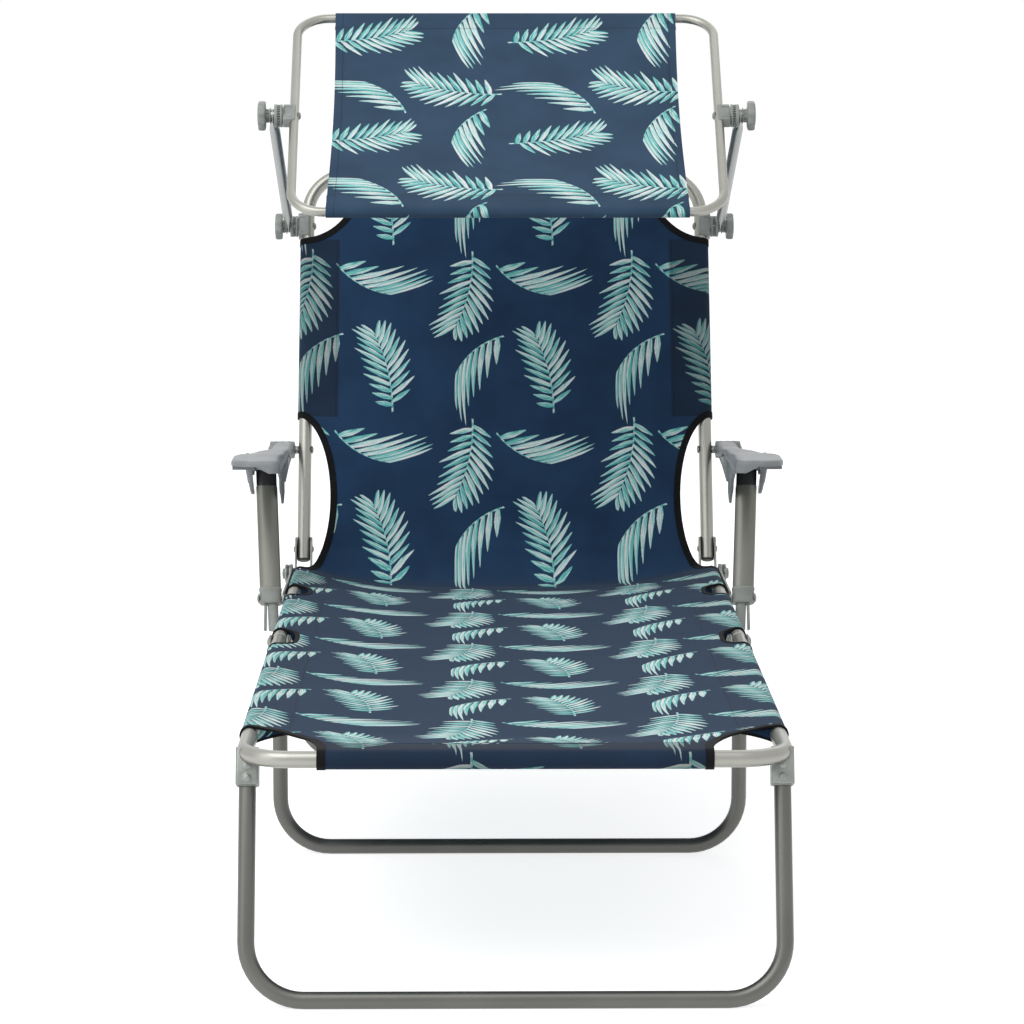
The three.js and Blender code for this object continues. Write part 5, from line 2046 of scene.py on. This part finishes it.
@dataclass
class ArmrestSet(Fittings):
    """The moulded armrests: an open shell with ribs, cheeks over the strut, and a hub at the rear."""

    nose: float = -380.0
    cheek_place: float = -215.0
    nose_outer: float = 34.0
    nose_inner: float = 14.0
    shell_wall: float = 3.2

    def build(self) -> None:
        """Makes both armrests and their rear pins."""
        self.workshop.pair("armrest", self.shell(), Station.ARMREST, "armrest_{side}", PAD_PLASTIC)
        pin = self.pin(268.8, 326.8, 2.6).drum(5.5, 287.0, 292.1, soften=0.4)
        self.workshop.pair("armrest_pin", pin.at(self.sizes.strut_length), Station.BACK, "back", ZINC)

    def sides_at(self, y: float) -> tuple[float, float]:
        """Gives the pad's inner and outer places across.

        Args:
            y: The place along the pad.

        Returns:
            The inner and the outer place.
        """
        past = max(0.0, y - self.nose)
        inner, outer = 293.0, eased(y, [(-300.0, 358.0), (-225.0, 343.0), (-150.0, 324.0), (-40.0, 322.0)])
        long, short = self.nose_outer, self.nose_inner
        if past < long:
            outer -= long - math.sqrt(long**2 - (long - past) ** 2)
        if past < short:
            inner += short - math.sqrt(short**2 - (short - past) ** 2)
        return inner, outer

    def heights_at(self, y: float) -> tuple[float, float]:
        """Gives the pad's underside and top at a place along it."""
        under = eased(y, [(-164.0, 14.5), (-20.0, -5.0)])
        return under, eased(y, [(-310.0, 30.5), (-205.0, 22.5), (-60.0, 12.2), (0.0, 11.4)])

    def shell(self) -> Shaper:
        """Draws the pad's skin over its plan, then its thickness, ribs, cheeks, skirt and hub.

        Returns:
            The shape.
        """
        columns = [(drop, inset, 0.0) for inset, drop in PAD_EDGE]
        columns += [(0.0, None, share) for share in (0.14, 0.3, 0.5, 0.7, 0.86)]
        columns += [(drop, inset, 1.0) for inset, drop in reversed(PAD_EDGE)]
        rows = [*PAD_EDGE, *((place, 0.0) for place in PAD_ROWS)]
        part, cells = grid(len(columns) - 1, len(rows))
        for vert, column, row in cells:
            drop, inset, share = columns[column]
            step, fall = rows[row]
            y = self.nose + step
            inner, outer = self.sides_at(y)
            under, top = self.heights_at(y)
            if inset is None:
                x = inner + 6.0 + (outer - inner - 12.0) * share
            else:
                x = inner + inset if share < 0.5 else outer - inset
            middle = (x - inner) / (outer - inner)
            crown = 1.3 * (4.0 * middle * (1.0 - middle) - 1.0) * min(1.0, step / 30.0)
            sunk = 1.0 - (1.0 - drop) * (1.0 - fall)
            under += 8.5 * middle * eased(y, [(-300.0, 1.0), (-200.0, 0.0)])
            vert.co = Vector((x, y, top + min(0.0, crown) - (top - under) * sunk))
        bmesh.ops.recalc_face_normals(part, faces=part.faces[:])
        bmesh.ops.solidify(part, geom=part.faces[:], thickness=self.shell_wall)
        made = Shaper().absorb(part)
        self.ribs(made)
        self.cheeks(made)
        self.skirt(made)
        self.hub(made)
        return made

    def ribs(self, made: Shaper) -> None:
        """Adds the cross ribs and the long rib under the pad.

        Args:
            made: The armrest's shape.
        """
        for y in (-350.0, -315.0, -280.0, -180.0, -145.0, -110.0):
            inner, outer = self.sides_at(y)
            under, top = self.heights_at(y)
            made.block((inner + 2.0, y - 1.1, under + 1.5), (outer - 2.0, y + 1.1, top - 2.0), 0.3)
        made.block((325.5, -368.0, 16.5), (327.7, -282.0, 27.0), 0.3)

    def cheeks(self, made: Shaper) -> None:
        """Adds the two cheeks that hang over the strut, each with a raised rim and flutes.

        Args:
            made: The armrest's shape.
        """
        centre = self.cheek_place
        outline = [(centre + y, z) for y, z in CHEEK_EDGE]
        made.plate(outline, 298.5, 302.0, 0.9)
        hook = Shaper().plate(outline, 336.0, 340.4, 0.9)
        for y in (-11.0, 0.0, 11.0):
            hook.block((339.8, centre + y - 1.4, -24.0 + abs(y) * 0.6), (341.6, centre + y + 1.4, 17.0), 0.6)
        flare = Matrix.Identity(4)
        flare[0][2] = 0.16
        flare[0][3] = 0.16 * 30.0
        made.place(hook, flare)
        for y in (-9.0, 9.0):
            made.block((297.9, centre + y - 1.0, -20.0), (299.2, centre + y + 1.0, 17.0), 0.4)
        for x in (298.5, 336.0):
            made.drum(8.0, x - 0.6, x + 4.1, centre, 0.0, 0.5)
        web = [(336.5, 17.0), (344.8, 17.0), (344.6, 8.0), (343.4, -4.0), (341.4, -16.0), (339.0, -27.0)]
        web.append((336.5, -28.0))
        front = Shaper().plate([(z, -x) for x, z in web], centre - 22.0, centre - 18.6, 0.6)
        across = Matrix(((0.0, 0.0, -1.0), (1.0, 0.0, 0.0), (0.0, 1.0, 0.0)))
        made.place(front, across.to_4x4())

    def skirt(self, made: Shaper) -> None:
        """Adds the inner skirt, with a gap for the pivot bolt that it passes when the back lies flat.

        Args:
            made: The armrest's shape.
        """
        fore = [(-364.0, 17.0), (-330.0, 11.0), (-290.0, 3.0), (-262.0, -9.0), (-244.0, -24.0)]
        fore += [(-233.0, -35.0), (-222.0, -44.0), (-212.0, -42.0), (-197.0, -33.5), (-196.5, 0.0)]
        fore_top = [(-194.5, 8.0), (-190.0, 14.0), (-188.0, 18.8), (-205.0, 19.5), (-260.0, 24.0)]
        fore_top += [(-310.0, 27.0), (-364.0, 27.0)]
        rear = [(-161.5, 0.0), (-161.0, -23.0), (-150.0, -21.0), (-80.0, -13.5), (-12.0, -10.0), (-6.0, -4.0)]
        rear_top = [(-6.0, 7.0), (-60.0, 9.0), (-110.0, 12.5), (-150.0, 16.5), (-170.0, 17.6), (-165.0, 11.5)]
        for low, high in ((fore, fore_top), (rear, rear_top)):
            made.plate(low + high, 297.4, 299.4, 0.6)
            made.bar([(298.3, y, z) for y, z in low], 1.5, 1.9, sides=14)
        ribs = ((-268.0, -5.0, 19.0), (-246.0, -21.0, 17.0), (-222.0, -41.0, 15.0), (-204.0, -34.0, 15.0))
        for y, low, high in ribs + ((-146.0, -19.0, 11.0), (-112.0, -16.0, 8.0)):
            made.bar([(298.0, y, low), (298.0, y, high)], 0.0, 1.6, 1.7, sides=12)

    def hub(self, made: Shaper) -> None:
        """Adds the hub, ringed and webbed.

        Args:
            made: The armrest's shape.
        """
        made.drum(12.0, 292.4, 326.6, 0.0, 0.0, 1.2, 40)
        inner = [(291.9, 4.0), (291.9, 8.4), (293.0, 9.4), (294.0, 9.4), (294.0, 4.0), (291.9, 4.0)]
        outer = [(325.6, 4.0), (325.6, 9.4), (326.6, 9.4), (327.2, 8.4), (327.2, 4.0), (325.6, 4.0)]
        for rim in (inner, outer):
            made.lathe(rim, soften=0.2)
        for x in (300.0, 309.0, 318.0):
            made.drum(12.5, x - 0.7, x + 0.7, soften=0.3, sides=40)


@dataclass
class CanopyJoints(Fittings):
    """The canopy's links, and a clamp, toothed rings and a lobed knob at each of their ends."""

    face: float = 291.5
    link_place: float = 305.0
    ring: float = 15.0
    teeth_inner: float = 7.0
    teeth_outer: float = 14.5
    tooth_count: int = 28
    lobes: int = 8
    knob: float = 19.5

    def build(self) -> None:
        """Makes both links and the four friction joints."""
        self.clamps()
        self.links()
        self.knobs()

    def clamps(self) -> None:
        """Makes the saddles on the tubes, each with a toothed ring."""
        sizes, face = self.sizes, self.face
        rows = (
            ("lower_clamp", Station.BACK, sizes.clamp_along, sizes.back_side, sizes.tube, "back"),
            ("upper_clamp", Station.CANOPY, 0.0, 277.0, 6.0, "canopy"),
        )
        for name, station, along, side, radius, body in rows:
            deep = radius + 1.4
            shape = Shaper().block((side - 2.0, -16.8, -deep), (face, 16.8, deep), 1.8)
            for y in (-11.0, 11.0):
                low = (side + radius * 0.5, y - 1.2, -deep - 0.7)
                shape.block(low, (face - 0.6, y + 1.2, deep + 0.7), 0.5)
            shape.drum(11.5, face - 1.0, face + 1.2, soften=0.4, sides=44)
            shape.drum(self.ring, face + 0.8, face + 3.4, soften=0.5, sides=56)
            shape.place(self.teeth(face + 3.2, face + 4.7))
            shape.dome(4.6, -2.5, side - radius - 0.2)
            shape.drum(5.4, side - radius - 0.5, side - radius + 0.6, soften=0.2)
            self.workshop.pair(name, shape.at(along), station, body, KNOB_PLASTIC)

    def links(self) -> None:
        """Makes the links: oval tube, pressed flat at both ends round an eye."""
        length, x = self.sizes.link_length, self.link_place
        ends = [(-8.8, 2.4, 2.2), (-8.0, 2.5, 4.2), (-6.0, 2.5, 6.8), (-3.0, 2.5, 8.5), (0.0, 2.5, 9.0)]
        ends += [(5.0, 2.5, 8.6), (12.0, 2.5, 7.6), (22.0, 2.9, 6.8), (30.0, 4.4, 6.4), (38.0, 6.1, 6.1)]
        ends += [(48.0, 7.0, 6.0)]
        rings = [(y, x, 0.0, wide, deep) for y, wide, deep in ends]
        rings += [(place, x, 0.0, 7.0, 6.0) for place in (140.0, length / 2.0, length - 140.0)]
        rings += [(length - y, x, 0.0, wide, deep) for y, wide, deep in reversed(ends)]
        shape = Shaper().loft(rings, power=2.3, sides=32)
        self.workshop.pair("canopy_link", shape, Station.LINK, "link_{side}", LINK_STEEL)
        one = Shaper().drum(self.ring, 298.6, 302.8, soften=0.6, sides=56)
        one.place(self.teeth(296.5, 298.8), rotated(180.0 / self.tooth_count, "X"))
        one.drum(10.5, 307.3, 308.6, soften=0.4, sides=40)
        both = one.at(0.0).place(one, moved(y=length))
        self.workshop.pair("link_ring", both, Station.LINK, "link_{side}", KNOB_PLASTIC, replaces=False)

    def knobs(self) -> None:
        """Makes the knobs, with soft lobes, a recessed face and a fluted neck, and a washer under each."""
        outline = []
        for i in range(96):
            turn = math.tau * i / 96
            reach = self.knob - 0.9 * (1.0 - math.cos(self.lobes * turn))
            outline.append((reach * math.cos(turn), reach * math.sin(turn)))
        neck = [(308.6, 3.0), (308.6, 8.4), (310.2, 8.4), (311.0, 7.4)]
        neck += [(313.0, 7.9), (314.6, 10.8), (314.6, 3.0)]
        shape = Shaper().plate(outline, 314.0, 323.9, 2.6, segments=4)
        shape.lathe([(323.4, 0.0), (324.3, 0.0), (324.5, 6.0), (324.7, 7.6), (323.4, 8.6)], sides=40)
        shape.lathe([(323.6, 10.4), (324.4, 11.2), (324.4, 12.6), (323.6, 13.4)], sides=48)
        shape.lathe(neck, sides=40)
        for i in range(self.lobes):
            rib = Shaper().block((309.8, 6.4, -0.9), (314.4, 8.9, 0.9), 0.4)
            shape.place(rib, rotated(360.0 * (i + 0.5) / self.lobes, "X"))
        washer = Shaper().drum(6.6, 308.5, 309.3, soften=0.2)
        rows = (("knob", shape, KNOB_PLASTIC, True), ("washer", washer, ZINC, False))
        for name, made, finish, node in rows:
            low = made.at(self.sizes.clamp_along)
            self.workshop.pair(f"lower_{name}", low, Station.BACK, "lower_knob_{side}", finish, node)
            self.workshop.pair(f"upper_{name}", made, Station.CANOPY, "upper_knob_{side}", finish, node)


@dataclass
class TubePlugs(Fittings):
    """The moulded plugs pressed into the open tube ends."""

    radius: float = 8.2

    def build(self) -> None:
        """Makes a plug for each open end of the rails and of the back frame."""
        plug = self.plug()
        rail, back = self.sizes.rail_side, self.sizes.back_side
        foot, head = self.sizes.foot_length, self.sizes.seat_end - 14.0
        about = rotated(180.0, "Z")
        seat = Shaper().place(plug, moved(rail, head)).place(plug, moved(rail, foot + 12.2) @ about)
        rows = (
            ("seat_rail_plug", seat, Station.SEAT, "mid_section"),
            ("foot_rail_plug", Shaper().place(plug, moved(rail, foot + 7.0)), Station.SEAT, "foot_section"),
            ("back_tube_plug", Shaper().place(plug, moved(back, 20.0) @ about), Station.BACK, "back"),
        )
        for name, shape, station, body in rows:
            self.workshop.pair(name, shape, station, body, CAP_PLASTIC, replaces=False)

    def plug(self) -> Shaper:
        """Draws a plug whose low dome faces +Y.

        Returns:
            The shape.
        """
        full, slim = self.radius, self.radius - 0.8
        rings = [(-6.0, slim), (0.2, slim), (0.3, full), (1.0, full), (1.7, full * 0.82), (2.0, full * 0.5)]
        return Shaper().loft([(y, 0.0, 0.0, reach, reach) for y, reach in rings])


def seen(graph: Graph) -> Socket:
    """Tells the rays that find a white backdrop: those of the camera, of mirrors and through clear things."""
    rays = graph.node("ShaderNodeLightPath").outputs
    return graph.most(graph.most(rays["Is Camera Ray"], rays["Is Glossy Ray"]), rays["Is Transmission Ray"])


@dataclass
class Surroundings:
    """The floor, the light and the camera."""

    frames: Frames
    floor_colour: float = 0.86
    floor_lift: float = 0.74
    world_level: float = 0.42
    sensor: float = 36.0
    focal_pixels: float = 3650.0
    picture: float = 1024.0
    camera_place: tuple[float, float, float] = (-39.0, -3688.0, 1014.0)
    camera_dip: float = 7.8
    camera_turn: float = -0.55

    def build(self) -> None:
        """Sets up everything that isn't the lounger."""
        self.floor()
        self.world()
        self.lamps()
        self.camera()

    def floor(self) -> None:
        """Lays a plain pale floor that looks white to the camera and keeps the shadow."""
        mesh = bmesh.new()
        bmesh.ops.create_grid(mesh, x_segments=1, y_segments=1, size=30.0)
        data = bpy.data.meshes.new("floor")
        mesh.to_mesh(data)
        mesh.free()
        made = shown("floor", data)
        material = bpy.data.materials.new("Pale floor")
        material.use_nodes = True
        graph = Graph(material.node_tree)
        shader = material.node_tree.nodes["Principled BSDF"]
        colour = (self.floor_colour, self.floor_colour, self.floor_colour, 1.0)
        graph.fill(shader, {"Base Color": colour, "Roughness": 0.95, "Specular IOR Level": 0.0})
        lift = graph.times(seen(graph), self.floor_lift)
        glow = graph.node("ShaderNodeEmission", {"Color": WHITE, "Strength": lift})
        added = graph.node("ShaderNodeAddShader", {0: shader.outputs[0], 1: glow.outputs[0]})
        graph.fill(material.node_tree.nodes["Material Output"], {"Surface": added.outputs[0]})
        data.materials.append(material)

    def world(self) -> None:
        """Makes an even pale world that the camera and reflections see as white."""
        world = bpy.data.worlds.new("Studio")
        bpy.context.scene.world = world
        world.use_nodes = True
        graph = Graph(world.node_tree)
        level = graph.plus(self.world_level, graph.times(seen(graph), 1.0 - self.world_level))
        graph.fill(world.node_tree.nodes["Background"], {"Color": WHITE, "Strength": level})

    def lamps(self) -> None:
        """Hangs a large soft key lamp, a weaker one on the left and one behind."""
        rows = (
            ("key", (-1.6, -2.1, 3.9), (0.0, 0.1, 0.4), 3.2, 86.0),
            ("side", (-3.4, -2.6, 1.5), (0.0, 0.1, 0.5), 2.4, 20.0),
            ("rim", (0.4, 2.8, 3.0), (0.0, 0.3, 0.6), 3.0, 18.0),
        )
        for name, place, aim, size, power in rows:
            lamp = bpy.data.lights.new(name, "AREA")
            lamp.shape = "SQUARE"
            lamp.size = size
            lamp.energy = power
            made = shown(name, lamp)
            made.location = place
            made.rotation_euler = (Vector(aim) - Vector(place)).to_track_quat("-Z", "Y").to_euler()

    def camera(self) -> None:
        """Sets the camera where the photograph was taken from."""
        data = bpy.data.cameras.new("camera")
        data.sensor_fit = "HORIZONTAL"
        data.sensor_width = self.sensor
        data.lens = self.sensor * self.focal_pixels / self.picture
        data.clip_end = 100.0
        made = shown("camera", data)
        x, y, z = self.camera_place
        made.location = (x * MILLIMETRE, (y + self.frames.shift) * MILLIMETRE, z * MILLIMETRE)
        made.rotation_euler = (math.radians(90.0 - self.camera_dip), 0.0, math.radians(self.camera_turn))
        bpy.context.scene.camera = made


def main() -> None:
    """Builds every sub-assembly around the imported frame."""
    logging.basicConfig(level=logging.INFO, format="%(message)s")
    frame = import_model()
    frames = Frames(frame["record"], SIZES)
    bpy.context.scene.view_settings.view_transform = "Standard"
    Surroundings(frames).build()
    workshop = Workshop(frames)
    kinds = (Tubework, LegBrackets, FootHinges, ReclineJoints, StrutSet, ArmrestSet, CanopyJoints, TubePlugs)
    for kind in (*kinds, Slings):
        kind(workshop).build()


if __name__ == "__main__":
    main()
